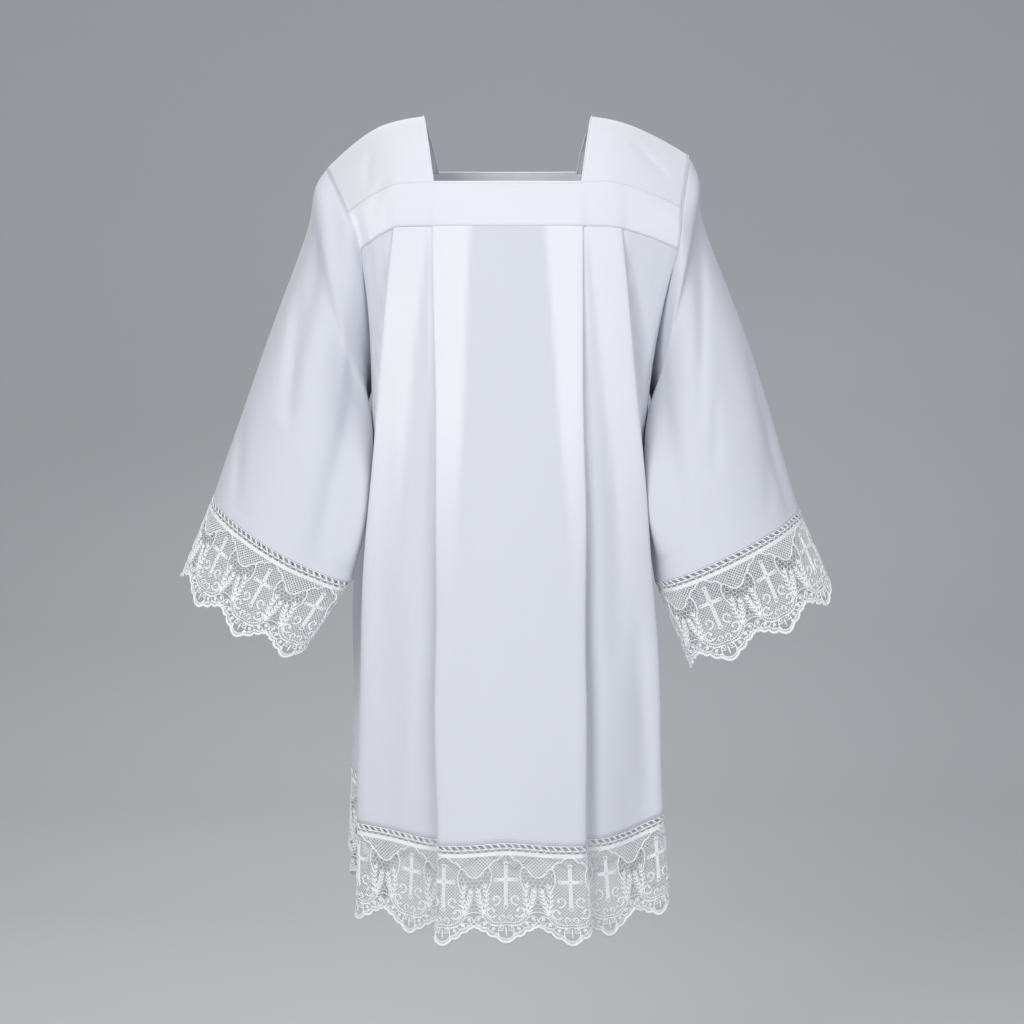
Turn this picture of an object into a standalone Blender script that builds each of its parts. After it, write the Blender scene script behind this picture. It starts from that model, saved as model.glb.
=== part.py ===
"""A pleated, square-necked surplice with lace at its hem and cuffs, hanging as it is worn.

Run with:  blender --background --python part.py

Metres, +Z up, the wearer faces -Y. The origin is midway between the two points where the neck
opening crosses the tops of the shoulders. Each pattern piece is one object: two yoke bands, two
shoulder pieces, two pleated skirts, two sleeves, and the lace of the hem and of each cuff in a
front and a back half. A piece is an open sheet lofted through its sections and given its wall by
Solidify.
"""

import math
from collections import namedtuple

import bpy
import numpy as np

# ---- cloth ---------------------------------------------------------------------------------
CLOTH_WALL = 0.0010
YOKE_WALL = 0.0018  # the yoke is two cloths thick
LACE_WALL = 0.0012
SEAM = 0.0003  # clear gap between pieces that are sewn to each other
SAME_WAY = math.radians(5)  # two walls less than twice this apart run along one seam
ALONG = 0.2  # a border's way in that is this little square to a seam runs along it
RIM_LEAN = 0.12  # by how much of its thickness a leaning wall's rim can dip towards its seam
LAYER = 0.0016  # from one folded layer to the next where the pleats meet the yoke

# ---- neck and yoke -------------------------------------------------------------------------
NECK_HALF = 0.0920  # half the neck opening's width at its square corners
YOKE_HEIGHT = 0.0530
FRONT_NECK_Z = -0.0955
BACK_NECK_Z = -0.0600
FRONT_CHEST_Y = -0.1300  # the front yoke's foot at the centre
BACK_CHEST_Y = 0.1280
PANEL_BOW = 0.0035  # how far the panel between the pleats bows out in the middle
CHEST_BEND = 2.2  # how late, from the centre out, the yoke's foot turns back to the arms
NECK_BEND = 1.4  # the same of its upper edge
NECK_BOW = 0.0020  # how far the neck opening's square ends bow out in the middle
PLEAT_STEPS = (0.0880, 0.1360)  # half widths at which the pleats' outermost layer drops by two
PLEAT_STEP_WIDTH = 0.0120

# ---- lace ----------------------------------------------------------------------------------
LACE_HEIGHT = 0.1180
HOLES_IN_REPEAT = 7  # the largest openings of one repeat, which lie along the scallop
HEM_COLUMNS = {"front": 84, "back": 75}  # each column of lace has one opening
HEM_FIRST = {"front": 3, "back": 0}  # the column of the repeat that a hem's lace starts with
CUFF_REPEATS = 7

Spot = namedtuple("Spot", "name x y z")
Fold = namedtuple(
    "Fold", "name top_x layer mid_x mid_y hem_x hem_y gape_mid gape_hem ease_mid ease_hem flats"
)
Seam = namedtuple("Seam", "mid_x mid_y hem_x hem_y")
Fall = namedtuple("Fall", "depth start width")
Ring = namedtuple("Ring", "at outer_x outer_z inner_x inner_z outer_y inner_y half_depth front_drop")
Trough = namedtuple("Trough", "angle drift width depth start end")
Petal = namedtuple("Petal", "foot_z top_z half_width lean")
Sheet = namedtuple("Sheet", "grid wall outward closed")

FACES = ((True, "front", (0, -1, 0)), (False, "back", (0, 1, 0)))  # whether front, name, outwards
SIDES = (("left", -1), ("right", 1))  # as seen by a viewer who faces the wearer

# The armhole, from the top of the shoulder down the front, under the arm and up the back.
ARMHOLE = {
    "left": (
        Spot("shoulder_top", 0.2320, 0.005, -0.066),
        Spot("front_yoke_top", 0.2010, -0.083, -0.130),
        Spot("front_yoke_foot", 0.1840, -0.094, -0.176),
        Spot("front_armpit", 0.1700, -0.060, -0.262),
        Spot("underarm", 0.1660, 0.010, -0.335),
        Spot("back_armpit", 0.1740, 0.072, -0.262),
        Spot("back_yoke_foot", 0.1980, 0.106, -0.158),
        Spot("back_yoke_top", 0.2080, 0.100, -0.106),
    ),
    "right": (
        Spot("shoulder_top", 0.2320, 0.005, -0.049),
        Spot("front_yoke_top", 0.2180, -0.083, -0.124),
        Spot("front_yoke_foot", 0.2120, -0.094, -0.175),
        Spot("front_armpit", 0.1900, -0.060, -0.258),
        Spot("underarm", 0.1740, 0.010, -0.335),
        Spot("back_armpit", 0.1840, 0.074, -0.260),
        Spot("back_yoke_foot", 0.2060, 0.106, -0.158),
        Spot("back_yoke_top", 0.2120, 0.100, -0.104),
    ),
}
SPOTS = 8
STEPS_PER_SPOT = 4  # samples of the armhole between one spot and the next
ROUND_SLEEVE = SPOTS * STEPS_PER_SPOT

# Past half width start the yoke's edges fall towards the arms, by depth once they are width further.
YOKE_FALL = {
    "front": {"left": Fall(0.0330, 0.1150, 0.0850), "right": Fall(0.0300, 0.0900, 0.1200)},
    "back": {"left": Fall(0.0300, 0.0900, 0.1200), "right": Fall(0.0300, 0.0900, 0.1200)},
}

# The side of the neck opening, from its front corner over the shoulder to its back corner.
NECK_EDGE = (
    Spot("front_corner", NECK_HALF, -0.1180, FRONT_NECK_Z),
    Spot("front_slope", 0.0985, -0.0850, -0.0500),
    Spot("front_crown", 0.1045, -0.0450, -0.0140),
    Spot("top", 0.1080, 0.0000, 0.0000),
    Spot("back_crown", 0.1050, 0.0500, -0.0080),
    Spot("back_slope", 0.0980, 0.0880, -0.0320),
    Spot("back_corner", NECK_HALF, 0.1140, BACK_NECK_Z),
)
SHOULDER_CROWN = {"left": 0.0080, "right": 0.0015}  # how far the shoulder line bows upwards

# Knife pleats, from the centre out. A pleat's "edge" is its outer fold and its "tuck" the fold
# hidden under it. At the yoke a fold is at (top_x, layer), layer 0 outermost, and turns back one
# layer deeper. Halfway down, and at the hem, its outer corner is at (x, y), gape is the way from
# there to the cloth that turns back, and ease how far the fold is rounded. A row without a gape is
# a soft bend. "arm" is where the yoke ends. flats is the number of strips before each fold.
FRONT_PLEATS = {
    "left": (
        Fold("edge_1", 0.0931, 0, 0.0885, -0.1770, 0.0885, -0.2120, 0.007, 0.009, 0.005, 0.007, 4),
        Fold("tuck_1", 0.0455, 1, 0.0610, -0.1640, 0.0790, -0.1880, 0.007, 0.008, 0.005, 0.006, 2),
        Fold("bend_1", 0.1000, 2, 0.0990, -0.1560, 0.1060, -0.1780, 0.0, 0.0, 0.0, 0.0, 2),
        Fold("bend_2", 0.1200, 2, 0.1380, -0.1450, 0.1480, -0.1560, 0.0, 0.0, 0.0, 0.0, 1),
        Fold("edge_2", 0.1416, 2, 0.1745, -0.1330, 0.1890, -0.1370, 0.009, 0.013, 0.007, 0.009, 2),
        Fold("tuck_2", 0.0955, 3, 0.1330, -0.1080, 0.1480, -0.0860, 0.012, 0.014, 0.008, 0.010, 2),
        Fold("arm", 0.1840, 4, 0.1600, -0.0780, 0.1870, -0.0520, 0.0, 0.0, 0.0, 0.0, 3),
    ),
    "right": (
        Fold("edge_1", 0.0931, 0, 0.0955, -0.1760, 0.0990, -0.2060, 0.008, 0.010, 0.005, 0.007, 4),
        Fold("tuck_1", 0.0455, 1, 0.0720, -0.1540, 0.0930, -0.1700, 0.008, 0.008, 0.005, 0.006, 2),
        Fold("bend_1", 0.1000, 2, 0.1090, -0.1560, 0.1200, -0.1720, 0.0, 0.0, 0.0, 0.0, 2),
        Fold("bend_2", 0.1200, 2, 0.1390, -0.1430, 0.1600, -0.1400, 0.0, 0.0, 0.0, 0.0, 1),
        Fold("edge_2", 0.1416, 2, 0.1755, -0.1300, 0.1975, -0.1300, 0.009, 0.015, 0.007, 0.009, 2),
        Fold("tuck_2", 0.0955, 3, 0.1330, -0.1040, 0.1500, -0.0820, 0.012, 0.014, 0.008, 0.010, 2),
        Fold("arm", 0.2120, 4, 0.1540, -0.0750, 0.1830, -0.0500, 0.0, 0.0, 0.0, 0.0, 3),
    ),
}
BACK_PLEATS = (
    Fold("edge_1", 0.0931, 0, 0.0930, 0.1640, 0.0950, 0.1880, 0.008, 0.009, 0.005, 0.007, 4),
    Fold("tuck_1", 0.0455, 1, 0.0640, 0.1480, 0.0800, 0.1600, 0.008, 0.008, 0.005, 0.006, 2),
    Fold("bend_1", 0.1000, 2, 0.1050, 0.1450, 0.1140, 0.1580, 0.0, 0.0, 0.0, 0.0, 2),
    Fold("bend_2", 0.1200, 2, 0.1380, 0.1410, 0.1500, 0.1490, 0.0, 0.0, 0.0, 0.0, 1),
    Fold("edge_2", 0.1416, 2, 0.1720, 0.1340, 0.1850, 0.1370, 0.008, 0.012, 0.007, 0.009, 2),
    Fold("tuck_2", 0.0955, 3, 0.1290, 0.1160, 0.1420, 0.1000, 0.009, 0.012, 0.008, 0.010, 2),
    Fold("arm", 0.2000, 4, 0.1530, 0.0980, 0.1880, 0.0860, 0.0, 0.0, 0.0, 0.0, 3),
)
# The side seams below the arms, halfway down and at the hem.
SIDE_SEAM = {"left": Seam(0.1970, 0.0320, 0.1960, 0.0350), "right": Seam(0.1870, 0.0320, 0.1930, 0.0350)}
SIDE_WAVE = {"mid": 0.001, "hem": 0.010}  # from "arm" to the side seam the cloth hangs in a soft wave
DOWN_THE_SKIRT = (0.0, 0.035, 0.10, 0.20, 0.34, 0.52, 0.74, 1.0)

# The foot of the cloth, where the lace starts: how far it hangs above HEM_Z at even steps of the
# cloth's length, from the centre to the side seam, on the left and on the right.
HEM_Z = -0.8980
HEM_RISE = {
    "front": {
        "left": (0.001, -0.003, 0.000, 0.009, 0.016, 0.028, 0.048, 0.070),
        "right": (0.001, -0.004, -0.003, 0.004, 0.024, 0.028, 0.023, 0.018),
    },
    "back": {
        "left": (0.014, 0.013, 0.016, 0.022, 0.031, 0.043, 0.057, 0.070),
        "right": (0.014, 0.012, 0.013, 0.015, 0.020, 0.022, 0.021, 0.018),
    },
}

# Each sleeve below its armhole. at is how far down the sleeve the ring lies.
SLEEVE_RINGS = {
    "left": (
        Ring(0.10, 0.2460, -0.0900, 0.1795, -0.3620, 0.006, 0.012, 0.109, 0.000),
        Ring(0.25, 0.2577, -0.1500, 0.1805, -0.4050, 0.000, 0.012, 0.100, 0.004),
        Ring(0.50, 0.3030, -0.2760, 0.1830, -0.4660, -0.014, -0.045, 0.083, 0.010),
        Ring(0.75, 0.3395, -0.3900, 0.1840, -0.5260, -0.032, -0.068, 0.072, 0.015),
        Ring(1.00, 0.3700, -0.4850, 0.1905, -0.5840, -0.050, -0.085, 0.060, 0.020),
    ),
    "right": (
        Ring(0.10, 0.2455, -0.0800, 0.1862, -0.3620, 0.006, 0.015, 0.109, 0.000),
        Ring(0.25, 0.2500, -0.1350, 0.1820, -0.4050, 0.000, 0.012, 0.100, 0.002),
        Ring(0.50, 0.2990, -0.2670, 0.1790, -0.4680, -0.014, -0.045, 0.085, 0.005),
        Ring(0.75, 0.3370, -0.3880, 0.1765, -0.5280, -0.032, -0.072, 0.078, 0.008),
        Ring(1.00, 0.3690, -0.5010, 0.1840, -0.5890, -0.050, -0.085, 0.070, 0.010),
    ),
}
# The way the lace falls from the sleeve's foot, on its outer and its inner side.
CUFF_FALL = {
    "left": ((0.330, -0.400, -0.860), (0.540, -0.300, -0.770)),
    "right": ((0.350, -0.260, -0.900), (0.340, -0.260, -0.900)),
}
CUFF_FRONT_REPEATS = {"left": 3, "right": 4}
CUFF_MIDDLE = {"left": 0.250, "right": 0.265}  # the turn round the sleeve that they lie either side of
CUFF_TRIM = 0.7 * SEAM  # how far each half of a cuff's lace ends before the other

# Long soft troughs down the sleeves. angle is in turns from the outer side over the front, drift
# is its change from start to end, and start and end are how far down the sleeve it runs.
SLEEVE_TROUGHS = {
    "left": (
        Trough(0.130, 0.050, 0.050, 0.0050, 0.08, 0.62),
        Trough(0.365, -0.030, 0.055, 0.0090, 0.30, 1.05),
        Trough(0.700, 0.020, 0.070, 0.0060, 0.10, 0.90),
    ),
    "right": (
        Trough(0.160, 0.020, 0.050, 0.0070, 0.02, 0.70),
        Trough(0.060, 0.020, 0.045, 0.0045, 0.55, 1.05),
        Trough(0.740, -0.030, 0.070, 0.0060, 0.10, 0.90),
    ),
}
DOWN_THE_SLEEVE = (0.0, 0.05, 0.12, 0.25, 0.42, 0.60, 0.80, 1.0)

# One opening of the lace in each column of a repeat. Heights are shares of the lace's height above
# the scalloped edge, half_width and lean shares of the column.
PETALS = (
    Petal(0.055, 0.120, 0.30, 0.10),
    Petal(0.050, 0.125, 0.33, 0.05),
    Petal(0.050, 0.130, 0.33, 0.10),
    Petal(0.055, 0.145, 0.36, 0.00),
    Petal(0.050, 0.130, 0.33, -0.10),
    Petal(0.050, 0.125, 0.33, -0.05),
    Petal(0.055, 0.120, 0.30, -0.10),
)
SCALLOP = (0.800, 0.868, 0.925, 0.992, 0.992, 0.925, 0.868, 0.800)  # the edge at the columns' sides
OPENWORK = 0.165  # the share of the lace's height, above its edge, that holds the openings
PETAL_TAPER = 0.45  # an opening's width at its upper end, as a share of that at its foot


# ---- curves --------------------------------------------------------------------------------
def through(points, at):
    """The point at `at` on a smooth curve through rows of points, which are at 0, 1, 2 and so on."""
    points = np.asarray(points, float)
    last = len(points) - 1
    i = int(min(max(math.floor(at), 0), last - 1))
    t = at - i
    before, a, b, after = (points[min(max(k, 0), last)] for k in (i - 1, i, i + 1, i + 2))
    bend = 2 * before - 5 * a + 4 * b - after
    twist = 3 * (a - b) + after - before
    return a + 0.5 * t * (b - before + t * (bend + t * twist))


def places(spots):
    return np.array([(s.x, s.y, s.z) for s in spots])


def armhole(side, at):
    """The armhole's point at `at`, counted in spots from the shoulder's top, in +X whatever the side."""
    rows = places(ARMHOLE[side])
    wrapped = np.vstack([rows[-2:], rows, rows[:3]])
    return through(wrapped, at % SPOTS + 2)


def armhole_steps(side, first, last):
    """The armhole's samples from spot `first` to spot `last`, either way round."""
    count = abs(last - first) * STEPS_PER_SPOT
    return np.array([armhole(side, first + (last - first) * i / count) for i in range(count + 1)])


def signed(points, side):
    """Points worked out in +X, moved to the wearer's side that the viewer sees as `side`."""
    return np.asarray(points, float) * (-1 if side == "left" else 1, 1, 1)


def yoke_fall(x, side, front):
    """How far the yoke's edges have fallen at half width x."""
    fall = YOKE_FALL["front" if front else "back"][side]
    return fall.depth * max(0.0, (abs(x) - fall.start) / fall.width) ** 1.5


def eased(t):
    """0 to 1 with level ends."""
    t = min(max(t, 0.0), 1.0)
    return t * t * (3 - 2 * t)


# ---- yoke ----------------------------------------------------------------------------------
def face_of(front):
    """(sign of Y, neck height, the yoke's foot at the centre, the armhole spots at its top and foot)."""
    return (-1, FRONT_NECK_Z, FRONT_CHEST_Y, 1, 2) if front else (1, BACK_NECK_Z, BACK_CHEST_Y, 7, 6)


def outer_layer(x):
    """Which layer of the pleats lies outermost at half width x, as a smooth number."""
    return sum(2 * eased((abs(x) - step) / PLEAT_STEP_WIDTH) for step in PLEAT_STEPS)


def seam_y(x, depth, side, front):
    """The Y of the cloth where the pleats meet the yoke: at half width x, and a depth under the
    outermost layer."""
    sign, _, centre_y, _, foot_spot = face_of(front)
    end = armhole(side, foot_spot)
    thickness = 4 * LAYER
    innermost = centre_y - sign * thickness
    chest = innermost + (end[1] - innermost) * min(1.0, abs(x) / end[0]) ** CHEST_BEND
    return chest + sign * (thickness - depth)


def yoke_foot(x, side, front):
    """A point of the yoke's foot, where the pleats hang from it."""
    _, neck_z, _, _, foot_spot = face_of(front)
    end = armhole(side, foot_spot)
    level = neck_z - YOKE_HEIGHT - yoke_fall(x, side, front)
    drop = end[2] - (neck_z - YOKE_HEIGHT - yoke_fall(end[0], side, front))
    start = YOKE_FALL["front" if front else "back"][side].start
    share = max(0.0, (abs(x) - start) / (end[0] - start))
    return np.array((x, seam_y(x, outer_layer(x) * LAYER, side, front), level + drop * share))


def yoke_top(x, side, front):
    """A point of the yoke's upper edge: the neck opening's square end, then the shoulder seam."""
    sign, neck_z, _, top_spot, _ = face_of(front)
    corner = places(NECK_EDGE)[0 if front else -1]
    end = armhole(side, top_spot)
    share = max(0.0, (abs(x) - NECK_HALF) / (end[0] - NECK_HALF))
    bow = NECK_BOW * (1 - min(1.0, abs(x) / NECK_HALF) ** 2)
    y = corner[1] + (end[1] - corner[1]) * share**NECK_BEND + sign * bow
    level = neck_z - yoke_fall(x, side, front)
    drop = end[2] - (neck_z - yoke_fall(end[0], side, front))
    return np.array((x, y, level + drop * share))


def yoke_stations(side, spot):
    """Half widths from the centre to the arm, the neck's corner among them."""
    end = armhole(side, spot)[0]
    inner = [NECK_HALF * i / 4 for i in range(4)]
    return inner + [NECK_HALF + (end - NECK_HALF) * i / 6 for i in range(7)]


def yoke_half(side, front):
    """One half of a yoke band as rows from its top edge to its foot, each from the centre out."""
    _, _, _, top_spot, foot_spot = face_of(front)
    tops = [yoke_top(x, side, front) for x in yoke_stations(side, top_spot)]
    feet = [yoke_foot(x, side, front) for x in yoke_stations(side, foot_spot)]
    ends = armhole_steps(side, top_spot, foot_spot)
    rows = []
    for i, end in enumerate(ends):
        t = i / (len(ends) - 1)
        row = np.array([a + (b - a) * t for a, b in zip(tops, feet)])
        reach = (row[:, 0] / row[-1, 0])[:, None] ** 3
        rows.append(row + (end - row[-1]) * reach)
    return np.array(rows)


def both_halves(left, right):
    """Rows that run from the centre out, joined into rows that run from left to right."""
    return np.concatenate([signed(left, "left")[:, :0:-1], signed(right, "right")], axis=1)


def yoke_grid(front):
    return both_halves(yoke_half("left", front), yoke_half("right", front))


# ---- shoulders -----------------------------------------------------------------------------
def shoulder_grid(side):
    """Rows from the front yoke over the shoulder to the back one, each from the neck to the arm."""
    arm = np.vstack([armhole_steps(side, 1, 0), armhole_steps(side, 8, 7)[1:]])
    across = len(arm) - 1
    edge = places(NECK_EDGE)
    neck = np.array([through(edge, (len(edge) - 1) * i / across) for i in range(across + 1)])
    fronts = [yoke_top(x, side, True) for x in yoke_stations(side, 1)[4:]]
    backs = [yoke_top(x, side, False) for x in yoke_stations(side, 7)[4:]]
    columns = len(fronts) - 1
    rows = []
    for i in range(across + 1):
        r = i / across
        row = []
        for j in range(columns + 1):
            c = j / columns
            sides = (1 - c) * neck[i] + c * arm[i]
            ends = (1 - r) * fronts[j] + r * backs[j]
            corners = (1 - c) * ((1 - r) * neck[0] + r * neck[-1]) + c * ((1 - r) * arm[0] + r * arm[-1])
            crown = SHOULDER_CROWN[side] * math.sin(math.pi * c) * math.sin(math.pi * r)
            row.append(sides + ends - corners + (0, 0, crown))
        rows.append(row)
    return signed(np.array(rows), side)


# ---- skirts --------------------------------------------------------------------------------
def pleats_of(side, front):
    return FRONT_PLEATS[side] if front else BACK_PLEATS


def hem_rise(share, side, front):
    """How far the cloth's foot hangs above HEM_Z at a share of the half skirt's length round."""
    rises = HEM_RISE["front" if front else "back"][side]
    return float(through(np.array(rises)[:, None], share * (len(rises) - 1))[0])


def strips(start, end, count):
    """Points that split a straight stretch, without its start."""
    return [start + (end - start) * i / count for i in range(1, count + 1)]


def folded(folds, corners, gapes, eases, inward):
    """A chain of points from the first corner on, through every fold's outer corner and, where the
    fold gapes, round it."""
    chain = [corners[0]]
    ways = [corners[0]]
    for corner, gape in zip(corners[1:], gapes):
        ways.append((corner, corner + inward * gape))
    for i, fold in enumerate(folds, 1):
        corner, turned = ways[i]
        if not gapes[i - 1]:
            chain.extend(strips(chain[-1], corner, fold.flats))
            continue
        before = ways[i - 1][1] if i > 1 else ways[0]
        after = ways[i + 1][0]
        ease = eases[i - 1]
        chain.extend(strips(chain[-1], corner + unit(before - corner) * ease, fold.flats))
        chain.append((corner + turned) / 2)
        chain.append(turned + unit(after - turned) * ease)
    return chain


def section_at_yoke(side, front):
    """Half a skirt's upper edge: under the yoke from the centre to the arm, then the armhole."""
    folds = pleats_of(side, front)
    edge = armhole_steps(side, face_of(front)[4], SPOTS // 2)
    # The pleats are laid out flat, as half widths and depths, and then bent round the chest.
    corners = [np.zeros(2)] + [np.array((fold.top_x, fold.layer * LAYER)) for fold in folds[:-1]]
    corners.append(np.array((edge[0][0], 4 * LAYER)))
    gapes = [LAYER if fold.gape_mid else 0 for fold in folds]
    flat = folded(folds, corners, gapes, [LAYER / 2] * len(folds), np.array((0, 1)))
    chain = [(x, seam_y(x, depth, side, front), yoke_foot(x, side, front)[2]) for x, depth in flat]
    return np.array(chain + list(edge[1:]))


def section_below(side, front, level):
    """Half a skirt's section, from the centre to the side seam, halfway down ("mid") or at the hem."""
    sign = face_of(front)[0]
    folds = pleats_of(side, front)
    rows = (*folds, SIDE_SEAM[side])
    spots = [np.array((getattr(row, level + "_x"), getattr(row, level + "_y"), 0.0)) for row in rows]
    edges = [getattr(pleats_of(each, front)[0], level + "_y") for each, _ in SIDES]
    corners = [np.array((0.0, sum(edges) / 2 + sign * PANEL_BOW, 0.0))] + spots[:-1]
    gapes = [getattr(fold, "gape_" + level) for fold in folds]
    eases = [getattr(fold, "ease_" + level) for fold in folds]
    chain = folded(folds, corners, gapes, eases, np.array((0, -sign, 0)))
    arm, end = spots[-2:]
    steps = (SPOTS // 2 - face_of(True)[4]) * STEPS_PER_SPOT
    for i in range(1, steps + 1):
        t = i / steps
        out = -SIDE_WAVE[level] * math.sin(2 * math.pi * t) * math.sin(math.pi * t)
        chain.append(arm + (end - arm) * t + (out, 0, 0))
    return np.array(chain)


def length_shares(points):
    """How far along a chain each of its points lies, from 0 to 1."""
    along = np.concatenate([[0.0], np.cumsum(np.linalg.norm(np.diff(points, axis=0), axis=1))])
    return along / along[-1]


def skirt_half(side, front, downs):
    """Half a skirt as rows down from the yoke, each from the centre to the side seam. A row past 1
    is where the skirt would go on below its foot, in lengths of the lace."""
    top = section_at_yoke(side, front)
    mid, hem = (section_below(side, front, level) for level in ("mid", "hem"))
    hem[:, 2] = [HEM_Z + hem_rise(share, side, front) for share in length_shares(hem)]
    mid[:, 2] = (top[:, 2] + hem[:, 2]) / 2
    fall = 3 * hem - 4 * mid + top
    fall /= np.linalg.norm(fall, axis=1, keepdims=True)
    rows = []
    for v in downs:
        t = min(v, 1.0)
        row = top * (1 - t) * (1 - 2 * t) + mid * 4 * t * (1 - t) + hem * t * (2 * t - 1)
        rows.append(row + fall * max(v - 1, 0.0) * LACE_HEIGHT)
    return np.array(rows)


def skirt_grid(front, downs=DOWN_THE_SKIRT):
    """A whole skirt as rows from left to right."""
    return both_halves(skirt_half("left", front, downs), skirt_half("right", front, downs))


# ---- sleeves -------------------------------------------------------------------------------
def trough_depth(side, turn, at):
    """How far the sleeve's troughs press it in at a turn round it and a share of its length."""
    depth = 0.0
    for trough in SLEEVE_TROUGHS[side]:
        t = (at - trough.start) / (trough.end - trough.start)
        if 0 < t < 1:
            away = (turn - trough.angle - trough.drift * t + 0.5) % 1 - 0.5
            depth += trough.depth * math.sin(math.pi * t) ** 0.7 * math.exp(-((away / trough.width) ** 2) * 2)
    return depth


def ring_point(ring, turn):
    """A point of a sleeve's ring, in +X. A turn of 0 is its outer side and 0.25 its front."""
    outer = np.array((ring.outer_x, ring.outer_y, ring.outer_z))
    inner = np.array((ring.inner_x, ring.inner_y, ring.inner_z))
    front = np.array((0.0, -ring.half_depth, -ring.front_drop))
    angle = 2 * math.pi * turn
    return (outer + inner) / 2 + (outer - inner) / 2 * math.cos(angle) + front * math.sin(angle)


def sleeve_point(side, turn, at):
    """A point of the sleeve, in +X, at a turn round it and a share of its length."""
    rings = SLEEVE_RINGS[side]
    chain = [armhole(side, turn * SPOTS)] + [ring_point(ring, turn) for ring in rings]
    stops = [0.0] + [ring.at for ring in rings]
    i = max(k for k in range(len(stops) - 1) if stops[k] <= at + 1e-9)
    k = i + (at - stops[i]) / (stops[i + 1] - stops[i])
    point = through(chain, k)
    centre = np.mean([through([armhole(side, s)] + [ring_point(r, s / SPOTS) for r in rings], k)
                      for s in (0, 2, 4, 6)], axis=0)
    inward = centre - point
    return point + inward / max(np.linalg.norm(inward), 1e-9) * trough_depth(side, turn, at)


def sleeve_grid(side):
    """Rows down the sleeve, each once round it."""
    turns = [i / ROUND_SLEEVE for i in range(ROUND_SLEEVE)]
    grid = np.array([[sleeve_point(side, turn, at) for turn in turns] for at in DOWN_THE_SLEEVE])
    return signed(grid, side)


# ---- seams ---------------------------------------------------------------------------------
def unit(vectors):
    return vectors / np.linalg.norm(vectors, axis=-1, keepdims=True)


def borders(sheet):
    """Each border of a sheet as (place, points, way in from each, tangent at each). A way in is
    square to its border."""
    lines = [(np.s_[0, :], np.s_[1, :]), (np.s_[-1, :], np.s_[-2, :])]
    if not sheet.closed:
        lines += [(np.s_[:, 0], np.s_[:, 1]), (np.s_[:, -1], np.s_[:, -2])]
    for place, beside in lines:
        points = sheet.grid[place]
        if sheet.closed:
            tangent = unit(np.roll(points, -1, axis=0) - np.roll(points, 1, axis=0))
        else:
            tangent = unit(np.gradient(points, axis=0))
        way = unit(sheet.grid[beside] - points)
        yield place, points, unit(way - tangent * np.sum(way * tangent, axis=1, keepdims=True)), tangent


def shared(points, others):
    """The pairs of points that two borders share along a seam, but not where they only cross."""
    touch = np.linalg.norm(points[:, None] - others[None], axis=2) < SEAM / 10
    wide = np.pad(touch, 1)
    beside = wide[:-2, :-2] | wide[2:, 2:] | wide[:-2, 2:] | wide[2:, :-2]
    return np.argwhere(touch & beside)


def pull_at(into, across, tangent, wall):
    """How far a wall is drawn in from a seam, so that it and the wall that leaves the seam along
    `across` stay SEAM apart."""
    across = across - tangent * np.dot(across, tangent)
    size = np.linalg.norm(across)
    half = math.acos(np.clip(np.dot(into, across) / max(size, ALONG), -1, 1)) / 2
    if size < ALONG or half < SAME_WAY:
        return 0.0
    return SEAM / 2 / math.sin(half) + wall / 2 / math.tan(half)


def drawn_back(sheets):
    """The sheets, each drawn back from the points that it shares with another's border, far enough
    that walls which meet there at any angle stay clear of each other."""
    result = {}
    for name, sheet in sheets.items():
        grid = sheet.grid.copy()
        for place, points, into, tangent in borders(sheet):
            pull = np.full(len(points), SEAM / 2 + sheet.wall * RIM_LEAN)
            for other in sheets.values():
                if other is sheet:
                    continue
                for _, other_points, across, _ in borders(other):
                    for i, j in shared(points, other_points):
                        pull[i] = max(pull[i], pull_at(into[i], across[j], tangent[i], sheet.wall))
            grid[place] += into * pull[:, None]
        result[name] = sheet._replace(grid=grid)
    return result


# ---- lace ----------------------------------------------------------------------------------
def even_chain(points, count, trim):
    """(indices, shares) that place count + 1 points at even lengths along a chain, a trim in from
    each of its ends."""
    shares = length_shares(points)
    margin = trim / np.linalg.norm(np.diff(points, axis=0), axis=1).sum()
    wanted = np.linspace(margin, 1 - margin, count + 1)
    index = np.clip(np.searchsorted(shares, wanted, side="right") - 1, 0, len(shares) - 2)
    part = (wanted - shares[index]) / np.maximum(shares[index + 1] - shares[index], 1e-12)
    return index, part[:, None]


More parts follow.
